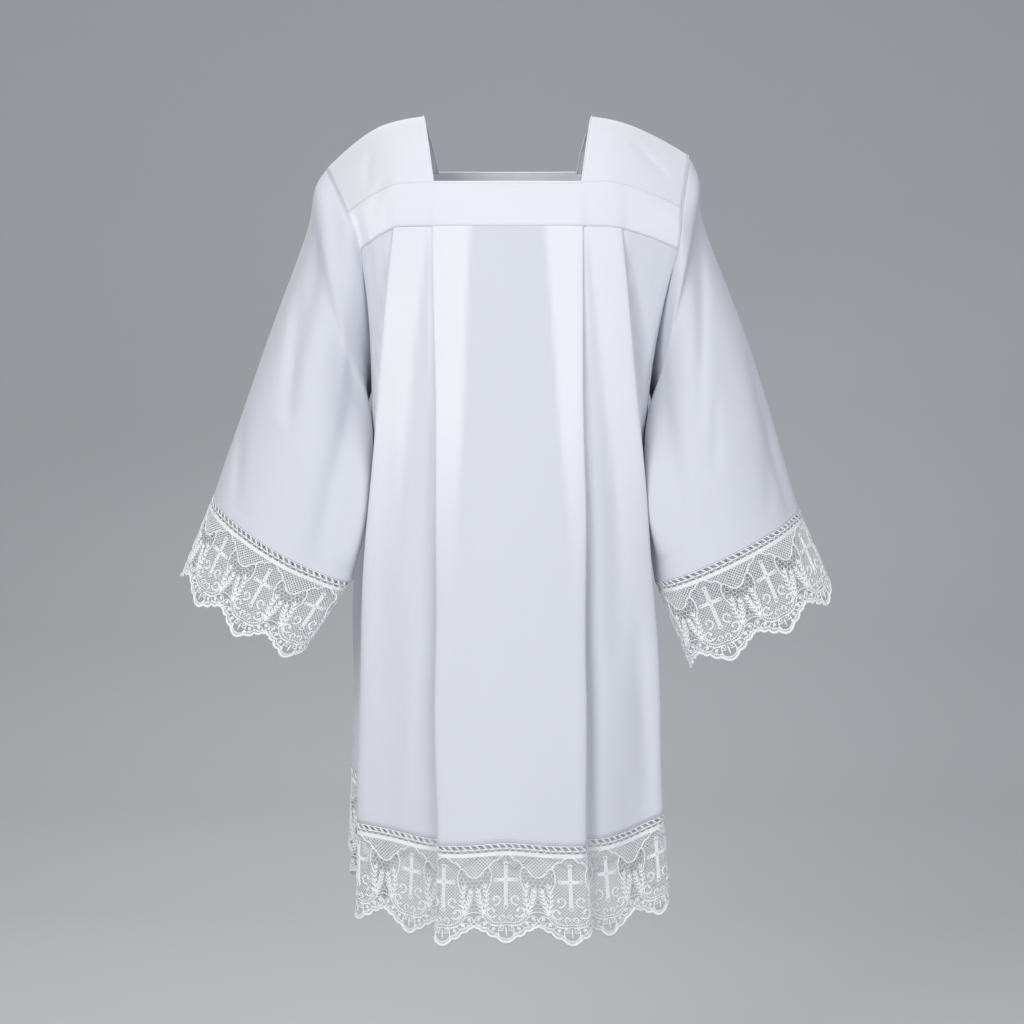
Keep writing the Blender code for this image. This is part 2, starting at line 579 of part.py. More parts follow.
def lace_mesh(top, foot, columns, first, trim):
    """The points and faces of a strip of lace whose upper edge is the chain `top`, with `foot` the
    same chain one lace height below. `first` is the column of the repeat that it starts with."""
    index, part = even_chain(top, columns, trim)
    upper = top[index] * (1 - part) + top[index + 1] * part
    lower = foot[index] * (1 - part) + foot[index + 1] * part
    points, faces = [], []

    def at(column, down):
        """A point of the strip, at a place counted in columns and a share of the way down."""
        i = int(min(math.floor(column), columns - 1))
        t = column - i
        a = upper[i] * (1 - t) + upper[i + 1] * t
        b = lower[i] * (1 - t) + lower[i + 1] * t
        points.append(a + (b - a) * down)
        return len(points) - 1

    edges = [SCALLOP[(c + first) % HOLES_IN_REPEAT] for c in range(columns + 1)]
    lines = [(at(c, 0.0), at(c, edge - OPENWORK), at(c, edge)) for c, edge in enumerate(edges)]
    for c in range(columns):
        petal = PETALS[(c + first) % HOLES_IN_REPEAT]
        left, right = lines[c], lines[c + 1]
        faces.append((left[0], left[1], right[1], right[0]))
        foot_edge = (edges[c] + edges[c + 1]) / 2
        slope = edges[c + 1] - edges[c]
        hole = []
        for across, up in (
            (petal.lean - petal.half_width * PETAL_TAPER, petal.top_z),
            (-petal.half_width, petal.foot_z),
            (petal.half_width, petal.foot_z),
            (petal.lean + petal.half_width * PETAL_TAPER, petal.top_z),
        ):
            hole.append(at(c + 0.5 + across, foot_edge - up + slope * across))
        frame = (left[1], left[2], right[2], right[1])
        for i in range(4):
            j = (i + 1) % 4
            faces.append((frame[i], frame[j], hole[j], hole[i]))
    return np.array(points), faces


def hem_lace(front):
    """The lace of the front or the back hem, from side seam to side seam."""
    face = "front" if front else "back"
    _, top, foot = skirt_grid(front, (0.0, 1.0 + SEAM / 2 / LACE_HEIGHT, 2.0))
    return lace_mesh(top, foot, HEM_COLUMNS[face], HEM_FIRST[face], LACE_WALL / 2)


def cuff_chains(side):
    """The sleeve's foot and the chain a lace height below it, once round from the outer side."""
    falls = np.array(CUFF_FALL[side])
    top, foot = [], []
    for i in range(ROUND_SLEEVE + 1):
        turn = i / ROUND_SLEEVE
        point, above = (sleeve_point(side, turn % 1, at) for at in (1.0, 0.97))
        share = (1 - math.cos(2 * math.pi * turn)) / 2
        fall = falls[0] * (1 - share) + falls[1] * share
        fall /= np.linalg.norm(fall)
        sleeve_fall = (point - above) / np.linalg.norm(point - above)
        bend = np.linalg.norm(np.cross(fall, sleeve_fall))
        top.append(point + fall * (SEAM / 2 + LACE_WALL * bend))
        foot.append(point + fall * LACE_HEIGHT)
    return np.array(top), np.array(foot)


def cuff_lace(side, front):
    """Half of a cuff's lace. The halves meet where two scallops do."""
    chains = cuff_chains(side)
    shares = length_shares(chains[0])
    middle = float(np.interp(CUFF_MIDDLE[side], np.linspace(0, 1, len(shares)), shares))
    repeats = CUFF_FRONT_REPEATS[side]
    half = repeats / CUFF_REPEATS / 2
    first, last = middle - half, middle + half
    if not front:
        repeats = CUFF_REPEATS - repeats
        first, last = last, first + 1
    # The chain closes on itself, so it is laid out twice over before the half is cut from it.
    twice = np.concatenate([shares - 1, shares[1:], shares[1:] + 1])
    inside = twice[(twice > first) & (twice < last)]
    wanted = np.concatenate([[first], inside, [last]]) % 1
    top, foot = (np.array([np.interp(wanted, shares, chain[:, k]) for k in range(3)]).T for chain in chains)
    points, faces = lace_mesh(top, foot, repeats * HOLES_IN_REPEAT, 0, CUFF_TRIM)
    return signed(points, side), faces


# ---- objects -------------------------------------------------------------------------------
def grid_faces(rows, columns, closed):
    """Faces of a grid of points, which closes on itself along its rows if asked."""
    wide = columns if closed else columns - 1
    faces = []
    for r in range(rows - 1):
        here, below = r * columns, (r + 1) * columns
        for c in range(wide):
            beside = (c + 1) % columns
            faces.append((here + c, below + c, below + beside, here + beside))
    return faces


def cloth_material(name, colour, roughness):
    material = bpy.data.materials.new(name)
    material.use_nodes = True
    shader = material.node_tree.nodes["Principled BSDF"]
    shader.inputs["Base Color"].default_value = (*colour, 1.0)
    shader.inputs["Roughness"].default_value = roughness
    shader.inputs["Sheen Weight"].default_value = 0.2
    return material


def add_piece(collection, name, points, faces, wall, material, outward):
    """A piece of cloth: an open sheet with Solidify. `outward` is a direction that the sheet's
    first face should look along, so that every wall's faces point out of it."""
    mesh = bpy.data.meshes.new(name)
    mesh.from_pydata([tuple(p) for p in points], [], faces)
    mesh.update()
    piece = bpy.data.objects.new(name, mesh)
    if np.dot(np.array(mesh.polygons[0].normal), outward) < 0:
        mesh.flip_normals()
    mesh.materials.append(material)
    mesh.shade_smooth()
    collection.objects.link(piece)
    solid = piece.modifiers.new("wall", "SOLIDIFY")
    solid.thickness = wall
    solid.offset = 0.0
    solid.use_even_offset = False
    solid.use_quality_normals = True
    return piece


def add_sheet(collection, name, sheet, material):
    rows, columns = sheet.grid.shape[:2]
    faces = grid_faces(rows, columns, sheet.closed)
    return add_piece(collection, name, sheet.grid.reshape(-1, 3), faces, sheet.wall, material, sheet.outward)


def clear_scene():
    for thing in list(bpy.data.objects):
        bpy.data.objects.remove(thing, do_unlink=True)


def main():
    clear_scene()
    garment = bpy.data.collections.new("surplice")
    bpy.context.scene.collection.children.link(garment)
    cloth = cloth_material("cloth", (0.80, 0.81, 0.86), 0.85)
    lace = cloth_material("lace", (0.84, 0.84, 0.86), 0.80)

    sheets = {}
    for front, face, out in FACES:
        sheets[f"yoke_{face}"] = Sheet(yoke_grid(front), YOKE_WALL, out, False)
        sheets[f"skirt_{face}"] = Sheet(skirt_grid(front), CLOTH_WALL, out, False)
    for side, x in SIDES:
        sheets[f"shoulder_{side}"] = Sheet(shoulder_grid(side), YOKE_WALL, (0, 0, 1), False)
        sheets[f"sleeve_{side}"] = Sheet(sleeve_grid(side), CLOTH_WALL, (x, 0, 1), True)
    for name, sheet in drawn_back(sheets).items():
        add_sheet(garment, name, sheet, cloth)
    for front, face, out in FACES:
        add_piece(garment, f"lace_hem_{face}", *hem_lace(front), LACE_WALL, lace, out)
        for side, _ in SIDES:
            points, faces = cuff_lace(side, front)
            add_piece(garment, f"lace_cuff_{side}_{face}", points, faces, LACE_WALL, lace, out)


main()
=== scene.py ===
"""A white surplice as it is worn: pleated cloth, scalloped lace, a turned neck edge and stitching.

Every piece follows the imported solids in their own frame: metres, +Z up, the wearer faces -Y, and
the origin is midway between the points where the neck opening crosses the tops of the shoulders.
Left and right are a viewer's who faces the wearer.
"""

import math
from collections import namedtuple

import bmesh
import bpy
import numpy as np
from bpy.props import FloatProperty, FloatVectorProperty, IntProperty, PointerProperty
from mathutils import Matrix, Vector


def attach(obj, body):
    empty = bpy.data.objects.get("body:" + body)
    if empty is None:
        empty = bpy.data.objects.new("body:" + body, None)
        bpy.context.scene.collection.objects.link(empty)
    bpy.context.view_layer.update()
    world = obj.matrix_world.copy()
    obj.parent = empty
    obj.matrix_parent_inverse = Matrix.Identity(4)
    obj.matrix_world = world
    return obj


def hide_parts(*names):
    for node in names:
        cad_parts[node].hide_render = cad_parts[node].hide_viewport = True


bl_info = {
    "name": "Surplice",
    "version": (1, 0, 0),
    "blender": (4, 5, 0),
    "location": "View3D > Sidebar > Surplice",
    "description": "Makes a worn surplice's cloth, lace and stitching on its packed solids",
    "category": "Object",
}

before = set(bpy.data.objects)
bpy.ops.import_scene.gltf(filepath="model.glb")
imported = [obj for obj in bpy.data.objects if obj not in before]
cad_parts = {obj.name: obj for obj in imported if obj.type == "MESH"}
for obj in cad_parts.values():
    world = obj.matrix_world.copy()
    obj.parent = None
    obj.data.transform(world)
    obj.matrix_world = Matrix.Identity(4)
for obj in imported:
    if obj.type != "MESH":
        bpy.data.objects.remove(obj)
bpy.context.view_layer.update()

Face = namedtuple("Face", "name sign neck_z chest_y neck_corner yoke_top yoke_foot")
Fold = namedtuple(
    "Fold",
    "name top_x layer mid_x mid_y hem_x hem_y flats gape_mid gape_hem ease_mid ease_hem",
    defaults=(0.0, 0.0, 0.0, 0.0),
)
Seam = namedtuple("Seam", "mid_x mid_y hem_x hem_y")
Fall = namedtuple("Fall", "depth start width")
Ring = namedtuple("Ring", "at outer_x outer_z inner_x inner_z outer_y inner_y half_depth front_drop")
Trough = namedtuple("Trough", "angle drift width depth start end")
Crease = namedtuple("Crease", "path width depth")
FlatCloth = namedtuple("FlatCloth", "size area")
Stroke = namedtuple("Stroke", "points widths height closed", defaults=(0.0, False))
Lamp = namedtuple("Lamp", "name place aim size power colour")


# ---- the garment's form ----------------------------------------------------------------------
SIDES = ("left", "right")
# A face's way out along Y, its neck's height, the Y of its yoke's foot at the centre, which end of
# NECK_EDGE its corner is, and the spots of the armhole at its yoke's top and foot.
FRONT = Face("front", -1, -0.0955, -0.1300, 0, 1, 2)
BACK = Face("back", 1, -0.0600, 0.1280, -1, 7, 6)
FACES = (FRONT, BACK)
LAYER = 0.0016  # from one folded layer to the next where the pleats meet the yoke
NECK_HALF = 0.0920  # half the neck opening's width at its square corners
YOKE_HEIGHT = 0.0530
YOKE_LAP = (0.0010, 0.0016)  # how far the yoke's foot lies out over the pleats, and down
PANEL_BOW = 0.0035  # how far the panel between the pleats bows out in the middle
CHEST_BEND = 2.2  # how late, from the centre out, the yoke's foot turns back to the arms
NECK_BEND = 1.4  # the same of its upper edge
NECK_BOW = 0.0020  # how far the neck opening's square ends bow out in the middle
FALL_BEND = 1.5  # how late the yoke's edges fall towards the arms
PLEAT_STEPS = (0.0880, 0.1360)  # half widths at which the pleats' outermost layer drops by two
PLEAT_STEP_WIDTH = 0.0120

# The armhole in +X: the top of the shoulder, the front yoke's top and foot, the front armpit, under
# the arm, the back armpit, and the back yoke's foot and top.
SPOTS = 8
ARMHOLE = {
    "left": (
        (0.2320, 0.005, -0.066), (0.2010, -0.083, -0.130), (0.1840, -0.094, -0.176),
        (0.1700, -0.060, -0.262), (0.1660, 0.010, -0.335), (0.1740, 0.072, -0.262),
        (0.1980, 0.106, -0.158), (0.2080, 0.100, -0.106),
    ),
    "right": (
        (0.2320, 0.005, -0.049), (0.2180, -0.083, -0.124), (0.2120, -0.094, -0.175),
        (0.1900, -0.060, -0.258), (0.1740, 0.010, -0.335), (0.1840, 0.074, -0.260),
        (0.2060, 0.106, -0.158), (0.2120, 0.100, -0.104),
    ),
}

# Past half width start the yoke's edges fall towards the arms, by depth once they are width further.
YOKE_FALL = {
    "front": {"left": Fall(0.0330, 0.1360, 0.0660), "right": Fall(0.0300, 0.1200, 0.0900)},
    "back": dict.fromkeys(SIDES, Fall(0.0300, 0.0900, 0.1200)),
}

# The side of the neck opening, from its front corner over the shoulder to its back corner.
NECK_EDGE = np.array((
    (NECK_HALF, -0.1180, FRONT.neck_z),
    (0.0985, -0.0850, -0.0500),
    (0.1045, -0.0450, -0.0140),
    (0.1080, 0.0000, 0.0000),
    (0.1050, 0.0500, -0.0080),
    (0.0980, 0.0880, -0.0320),
    (NECK_HALF, 0.1140, BACK.neck_z),
))
SHOULDER_CROWN = {"left": 0.0080, "right": 0.0015}  # how far the shoulder line bows upwards

# Knife pleats, from the centre out. A pleat's "edge" is its outer fold and its "tuck" the fold
# hidden under it. At the yoke a fold is at (top_x, layer), layer 0 outermost, and turns back one
# layer deeper. Halfway down, and at the hem, its outer corner is at (x, y), gape is the way from
# there to the cloth that turns back, and ease how far the fold is rounded. A row without a gape is
# a soft bend. "arm" is where the yoke ends. flats is the number of strips before each fold.
PLEATS = {
    "front": {
        "left": (
            Fold("edge_1", 0.0931, 0, 0.0885, -0.1770, 0.0885, -0.2120, 4, 0.007, 0.009, 0.005, 0.007),
            Fold("tuck_1", 0.0455, 1, 0.0610, -0.1640, 0.0790, -0.1880, 2, 0.007, 0.008, 0.005, 0.006),
            Fold("bend_1", 0.1000, 2, 0.0990, -0.1560, 0.1060, -0.1780, 2),
            Fold("bend_2", 0.1200, 2, 0.1380, -0.1450, 0.1480, -0.1560, 1),
            Fold("edge_2", 0.1416, 2, 0.1745, -0.1330, 0.1890, -0.1370, 2, 0.009, 0.013, 0.007, 0.009),
            Fold("tuck_2", 0.0955, 3, 0.1330, -0.1080, 0.1480, -0.0860, 2, 0.012, 0.014, 0.008, 0.010),
            Fold("arm", 0.1840, 4, 0.1600, -0.0780, 0.1870, -0.0520, 3),
        ),
        "right": (
            Fold("edge_1", 0.0931, 0, 0.0955, -0.1760, 0.0990, -0.2060, 4, 0.008, 0.010, 0.005, 0.007),
            Fold("tuck_1", 0.0455, 1, 0.0720, -0.1540, 0.0930, -0.1700, 2, 0.008, 0.008, 0.005, 0.006),
            Fold("bend_1", 0.1000, 2, 0.1090, -0.1560, 0.1200, -0.1720, 2),
            Fold("bend_2", 0.1200, 2, 0.1390, -0.1430, 0.1600, -0.1400, 1),
            Fold("edge_2", 0.1416, 2, 0.1755, -0.1300, 0.1975, -0.1300, 2, 0.009, 0.015, 0.007, 0.009),
            Fold("tuck_2", 0.0955, 3, 0.1330, -0.1040, 0.1500, -0.0820, 2, 0.012, 0.014, 0.008, 0.010),
            Fold("arm", 0.2120, 4, 0.1540, -0.0750, 0.1830, -0.0500, 3),
        ),
    },
    "back": dict.fromkeys(SIDES, (
        Fold("edge_1", 0.0931, 0, 0.0930, 0.1640, 0.0950, 0.1880, 4, 0.008, 0.009, 0.005, 0.007),
        Fold("tuck_1", 0.0455, 1, 0.0640, 0.1480, 0.0800, 0.1600, 2, 0.008, 0.008, 0.005, 0.006),
        Fold("bend_1", 0.1000, 2, 0.1050, 0.1450, 0.1140, 0.1580, 2),
        Fold("bend_2", 0.1200, 2, 0.1380, 0.1410, 0.1500, 0.1490, 1),
        Fold("edge_2", 0.1416, 2, 0.1720, 0.1340, 0.1850, 0.1370, 2, 0.008, 0.012, 0.007, 0.009),
        Fold("tuck_2", 0.0955, 3, 0.1290, 0.1160, 0.1420, 0.1000, 2, 0.009, 0.012, 0.008, 0.010),
        Fold("arm", 0.2000, 4, 0.1530, 0.0980, 0.1880, 0.0860, 3),
    )),
}
# Between a pleat's hidden fold and its edge the cloth looks whiter, because it lies three deep. How
# far before and past each fold that fades, and from which share of the skirt, over which share.
TUCK_FADE = (0.004, 0.009)
EDGE_FADE = (0.002, 0.004)
PLEAT_OPENS = (0.28, 0.36)
LAYERED_PLEATS = (("tuck_1", "edge_1", 1.0), ("tuck_2", "edge_2", 0.9))
YOKE_LAYERS = 0.8
SHOULDER_LAYERS = 0.6

# The side seams below the arms, halfway down and at the hem.
SIDE_SEAM = {"left": Seam(0.1970, 0.0320, 0.1960, 0.0350), "right": Seam(0.1870, 0.0320, 0.1930, 0.0350)}
SIDE_WAVE = {"mid": 0.001, "hem": 0.010}  # from "arm" to the side seam the cloth hangs in a soft wave
ARM_STEPS = 24  # steps of a skirt's edge from the yoke's foot to under the arm

# The foot of the cloth, where the lace starts: how far it hangs above HEM_Z at even steps of the
# cloth's length, from the centre to the side seam, on the left and on the right.
HEM_Z = -0.8980
HEM_RISE = {
    "front": {
        "left": (0.001, -0.003, 0.000, 0.009, 0.016, 0.028, 0.048, 0.070),
        "right": (0.001, -0.004, -0.003, 0.004, 0.024, 0.028, 0.023, 0.018),
    },
    "back": {
        "left": (0.014, 0.013, 0.016, 0.022, 0.031, 0.043, 0.057, 0.070),
        "right": (0.014, 0.012, 0.013, 0.015, 0.020, 0.022, 0.021, 0.018),
    },
}

# Each sleeve below its armhole. at is how far down the sleeve the ring lies.
SLEEVE_RINGS = {
    "left": (
        Ring(0.10, 0.2460, -0.0900, 0.1795, -0.3620, 0.006, 0.012, 0.109, 0.000),
        Ring(0.25, 0.2577, -0.1500, 0.1805, -0.4050, 0.000, 0.012, 0.100, 0.004),
        Ring(0.50, 0.3030, -0.2760, 0.1830, -0.4660, -0.014, -0.045, 0.083, 0.010),
        Ring(0.75, 0.3395, -0.3900, 0.1840, -0.5260, -0.032, -0.068, 0.072, 0.015),
        Ring(1.00, 0.3700, -0.4850, 0.1905, -0.5840, -0.050, -0.085, 0.060, 0.020),
    ),
    "right": (
        Ring(0.10, 0.2455, -0.0800, 0.1862, -0.3620, 0.006, 0.015, 0.109, 0.000),
        Ring(0.25, 0.2500, -0.1350, 0.1820, -0.4050, 0.000, 0.012, 0.100, 0.002),
        Ring(0.50, 0.2990, -0.2670, 0.1790, -0.4680, -0.014, -0.045, 0.085, 0.005),
        Ring(0.75, 0.3370, -0.3880, 0.1765, -0.5280, -0.032, -0.072, 0.078, 0.008),
        Ring(1.00, 0.3690, -0.5010, 0.1840, -0.5890, -0.050, -0.085, 0.070, 0.010),
    ),
}

# Long soft troughs down the sleeves: the solids' own, then softer ones. angle is in
# turns from the outer side over the front, drift is its change from start to end, and start and
# end are how far down the sleeve it runs. A negative depth is a ridge.
SLEEVE_TROUGHS = {
    "left": (
        Trough(0.130, 0.050, 0.050, 0.0050, 0.08, 0.62),
        Trough(0.365, -0.030, 0.055, 0.0090, 0.30, 1.05),
        Trough(0.700, 0.020, 0.070, 0.0060, 0.10, 0.90),
        Trough(0.300, 0.030, 0.035, -0.0025, 0.05, 0.60),
        Trough(0.440, -0.005, 0.055, -0.0110, 0.12, 1.06),
        Trough(0.405, 0.000, 0.050, -0.0050, 0.04, 1.04),
        Trough(0.820, 0.040, 0.040, 0.0035, 0.10, 0.95),
        Trough(0.660, -0.030, 0.040, 0.0040, 0.20, 1.00),
    ),
    "right": (
        Trough(0.130, 0.050, 0.060, 0.0026, 0.02, 0.70),
        Trough(0.060, 0.020, 0.045, 0.0045, 0.55, 1.05),
        Trough(0.740, -0.030, 0.070, 0.0060, 0.10, 0.90),
        Trough(0.405, -0.010, 0.055, -0.0050, 0.08, 1.04),
        Trough(0.320, -0.020, 0.035, -0.0025, 0.20, 0.80),
        Trough(0.860, 0.030, 0.040, 0.0035, 0.15, 0.95),
        Trough(0.660, -0.030, 0.040, 0.0040, 0.20, 1.00),
    ),
}
# Beside the body the sleeve's front fold is fuller and stands further in and forward.
SLEEVE_FULLNESS = {
    "left": (Trough(0.398, 0.000, 0.054, 0.0172, 0.06, 0.92),),
    "right": (Trough(0.398, 0.000, 0.054, 0.0156, 0.13, 0.88),),
}
FULLNESS_WAY = (1.1, 0.9)  # in along X and forward along Y
# The armhole's turnings lift the sleeve's head, and a hollow follows: centre and width of both as
# shares of the sleeve.
SEAM_ROLL = {"left": 0.0008, "right": 0.0018}
ROLL_CREST = (0.004, 0.0035)
ROLL_HOLLOW = (0.0125, 0.005)

# Soft creases laid on the solids' form, along paths of (x, z).
FRONT_CREASES = (
    # Drag lines on the shoulders.
    Crease(((0.157, -0.035), (0.172, -0.052), (0.186, -0.068), (0.203, -0.084)), 0.0045, 0.0032),
    Crease(((-0.172, -0.050), (-0.176, -0.075), (-0.174, -0.100)), 0.0050, 0.0026),
    Crease(((-0.150, -0.085), (-0.162, -0.110), (-0.170, -0.140)), 0.0060, 0.0022),
    # The hollows along the armholes.
    Crease(((-0.1915, -0.128), (-0.1835, -0.165), (-0.1775, -0.195), (-0.1735, -0.240), (-0.1700, -0.300)),
           0.0068, 0.0125),
    Crease(((0.2075, -0.165), (0.2000, -0.200), (0.1900, -0.240), (0.1760, -0.300)), 0.0045, 0.0040),
    Crease(((0.1480, -0.150), (0.1580, -0.215), (0.1665, -0.280), (0.1710, -0.350)), 0.0070, 0.0040),
    # The sleeves.
    Crease(((-0.2238, -0.087), (-0.2150, -0.160), (-0.2050, -0.240)), 0.0090, 0.0030),
    Crease(((-0.2630, -0.225), (-0.2680, -0.310), (-0.2740, -0.400)), 0.0090, 0.0045),
    Crease(((-0.3350, -0.370), (-0.3370, -0.430), (-0.3380, -0.495)), 0.0080, 0.0040),
    Crease(((0.2430, -0.130), (0.2440, -0.230), (0.2420, -0.320), (0.2375, -0.400)), 0.0080, 0.0046),
    Crease(((0.2580, -0.360), (0.2585, -0.410), (0.2560, -0.455)), 0.0070, 0.0025),
    Crease(((0.3280, -0.380), (0.3275, -0.440), (0.3250, -0.510)), 0.0095, 0.0026),
    # The body.
    Crease(((0.160, -0.640), (0.168, -0.750), (0.176, -0.880)), 0.0130, 0.0070),
    Crease(((-0.150, -0.330), (-0.152, -0.520), (-0.156, -0.760)), 0.0150, 0.0035),
    Crease(((-0.030, -0.330), (-0.036, -0.560), (-0.030, -0.900)), 0.0260, 0.0022),
    Crease(((0.038, -0.380), (0.042, -0.620), (0.036, -0.900)), 0.0240, -0.0020),
    Crease(((0.128, -0.420), (0.134, -0.560), (0.136, -0.700)), 0.0120, 0.0035),
    Crease(((-0.112, -0.600), (-0.118, -0.740), (-0.126, -0.890)), 0.0120, -0.0030),
)
BACK_CREASES = (
    Crease(((0.150, -0.045), (0.168, -0.064), (0.190, -0.090)), 0.0060, 0.0026),
    Crease(((-0.154, -0.050), (-0.170, -0.072), (-0.188, -0.098)), 0.0060, 0.0026),
    Crease(((0.020, -0.260), (0.028, -0.480), (0.022, -0.880)), 0.0240, 0.0030),
    Crease(((-0.040, -0.300), (-0.048, -0.560), (-0.040, -0.880)), 0.0220, -0.0028),
    Crease(((0.136, -0.300), (0.144, -0.520), (0.152, -0.820)), 0.0150, 0.0050),
    Crease(((-0.140, -0.340), (-0.146, -0.560), (-0.154, -0.800)), 0.0150, 0.0050),
    Crease(((-0.110, -0.560), (-0.116, -0.700), (-0.124, -0.880)), 0.0120, -0.0030),
)
# The slight unevenness of hanging cloth: amplitude, radians a metre along X and Z, and phase.
SWAY = ((0.0016, 9, 11, 0.4), (0.0011, -17, 23, 2.0))
UNEVEN = ((0.0010, 31, 7, 1.0), (0.0009, 19, -13, 2.0))
UNEVEN_FROM = (0.16, 0.5)  # how far down it starts, and over what height it grows
FACE_BLEND = (0.01, 0.05)  # from which Y, and over what width, a face takes its creases

HEM_COLUMNS = {"front": (84, 0.5), "back": (75, 1.5)}  # sevenths of a repeat, and the first cross
# Where the lace is eased on to the hem, as shares of its length and metres.
HEM_EASE = {
    "front": ((0.0, -0.011), (0.46, -0.011), (0.54, -0.009), (0.60, -0.006), (0.66, 0.003), (1.0, 0.004)),
    "back": ((0.0, 0.0),),
}
# The way the lace falls from the sleeve's foot, on its outer and its inner side.
CUFF_FALL = {
    "left": ((0.330, -0.400, -0.860), (0.540, -0.300, -0.770)),
    "right": ((0.350, -0.260, -0.900), (0.340, -0.260, -0.900)),
}
CUFF_REPEATS = 7
CUFF_FRONT_REPEATS = {"left": 3, "right": 4}
CUFF_MIDDLE = {"left": 0.250, "right": 0.265}  # the turn round the sleeve that they lie either side of


def through(points, at):
    """The point at `at` on a smooth curve through points, which are at 0, 1, 2 and so on."""
    points = np.asarray(points, float)
    last = len(points) - 1
    i = int(min(max(math.floor(at), 0), last - 1))
    t = at - i
    before, a, b, after = (points[min(max(k, 0), last)] for k in (i - 1, i, i + 1, i + 2))
    bend = 2 * before - 5 * a + 4 * b - after
    twist = 3 * (a - b) + after - before
    return a + 0.5 * t * (b - before + t * (bend + t * twist))


def spread(points, steps):
    """steps + 1 points, evenly counted, of the smooth curve through a few."""
    return np.array([through(points, (len(points) - 1) * i / steps) for i in range(steps + 1)])


def by_middle(top, middle, foot, t):
    """The parabola that is at top at 0, at middle at 0.5 and at foot at 1."""
    return top * (1 - t) * (1 - 2 * t) + middle * 4 * t * (1 - t) + foot * t * (2 * t - 1)


def unit(vectors):
    return vectors / np.maximum(np.linalg.norm(vectors, axis=-1, keepdims=True), 1e-12)


def lengths_along(chain):
    """How far along a chain of points each of them lies."""
    return np.concatenate([[0.0], np.cumsum(np.linalg.norm(np.diff(chain, axis=0), axis=1))])


def between(ats, along, rows):
    """Rows that are known at lengths along a chain, worked out at others."""
    return np.column_stack([np.interp(ats, along, rows[:, axis]) for axis in range(3)])


def eased(t):
    """0 to 1 with level ends."""
    t = np.clip(t, 0.0, 1.0)
    return t * t * (3 - 2 * t)


def signed(points, side):
    """Points worked out in +X, moved to `side`."""
    return np.asarray(points, float) * (-1 if side == "left" else 1, 1, 1)


def mirrored(line):
    """Points of a plane, from the right to the left."""
    return np.asarray(line) * (-1, 1)


def armhole(side, at):
    """The armhole's point at `at`, counted in spots from the shoulder's top, in +X."""
    rows = np.array(ARMHOLE[side])
    return through(np.vstack([rows[-2:], rows, rows[:3]]), at % SPOTS + 2)


def armhole_steps(side, first, last, count):
    return np.array([armhole(side, first + (last - first) * i / count) for i in range(count + 1)])


def yoke_fall(x, side, face):
    """How far the yoke's edges have fallen at half width x."""
    fall = YOKE_FALL[face.name][side]
    return fall.depth * max(0.0, (abs(x) - fall.start) / fall.width) ** FALL_BEND


def outer_layer(x):
    """Which layer of the pleats lies outermost at half width x, as a smooth number."""
    return sum(2 * eased((abs(x) - step) / PLEAT_STEP_WIDTH) for step in PLEAT_STEPS)


def seam_y(x, depth, side, face):
    """The Y of the cloth where the pleats meet the yoke, at a depth under the outermost layer."""
    end = armhole(side, face.yoke_foot)
    thickness = 4 * LAYER
    innermost = face.chest_y - face.sign * thickness
    chest = innermost + (end[1] - innermost) * min(1.0, abs(x) / end[0]) ** CHEST_BEND
    return chest + face.sign * (thickness - depth)


def yoke_foot(x, side, face):
    """A point of the yoke's foot, where the pleats hang from it."""
    end = armhole(side, face.yoke_foot)
    level = face.neck_z - YOKE_HEIGHT - yoke_fall(x, side, face)
    drop = end[2] - (face.neck_z - YOKE_HEIGHT - yoke_fall(end[0], side, face))
    start = YOKE_FALL[face.name][side].start
    share = max(0.0, (abs(x) - start) / (end[0] - start))
    return np.array((x, seam_y(x, outer_layer(x) * LAYER, side, face), level + drop * share))


def yoke_top(x, side, face):
    """A point of the yoke's upper edge: the neck opening's square end, then the shoulder seam."""
    corner = NECK_EDGE[face.neck_corner]
    end = armhole(side, face.yoke_top)
    share = max(0.0, (abs(x) - NECK_HALF) / (end[0] - NECK_HALF))
    bow = NECK_BOW * (1 - min(1.0, abs(x) / NECK_HALF) ** 2)
    y = corner[1] + (end[1] - corner[1]) * share**NECK_BEND + face.sign * bow
    drop = end[2] - (face.neck_z - yoke_fall(end[0], side, face))
    return np.array((x, y, face.neck_z - yoke_fall(x, side, face) + drop * share))


def stations(side, spot, inner, outer):
    """Half widths from the centre to the arm, the neck's corner among them."""
    end = armhole(side, spot)[0]
    within = [NECK_HALF * i / inner for i in range(inner)]
    return within + [NECK_HALF + (end - NECK_HALF) * i / outer for i in range(outer + 1)]


def yoke_half(side, face, inner=22, outer=32, down=14):
    """One half of a yoke band as rows from its top edge to its foot, each from the centre out."""
    tops = np.array([yoke_top(x, side, face) for x in stations(side, face.yoke_top, inner, outer)])
    feet = np.array([yoke_foot(x, side, face) for x in stations(side, face.yoke_foot, inner, outer)])
    rows = []
    for i, end in enumerate(armhole_steps(side, face.yoke_top, face.yoke_foot, down)):
        row = tops + (feet - tops) * i / down
        reach = (row[:, 0] / row[-1, 0])[:, None] ** 3
        rows.append(row + (end - row[-1]) * reach)
    return signed(np.array(rows), side)


def yoke_form(face):
    """A yoke band as rows from left to right, with its foot lapped a little over the pleats."""
    form = np.concatenate([yoke_half("left", face)[:, :0:-1], yoke_half("right", face)], axis=1)
    lap = eased(np.linspace(0, 1, len(form)) * 2 - 1)[:, None, None]
    return form + lap * np.array((0, face.sign * YOKE_LAP[0], -YOKE_LAP[1]))


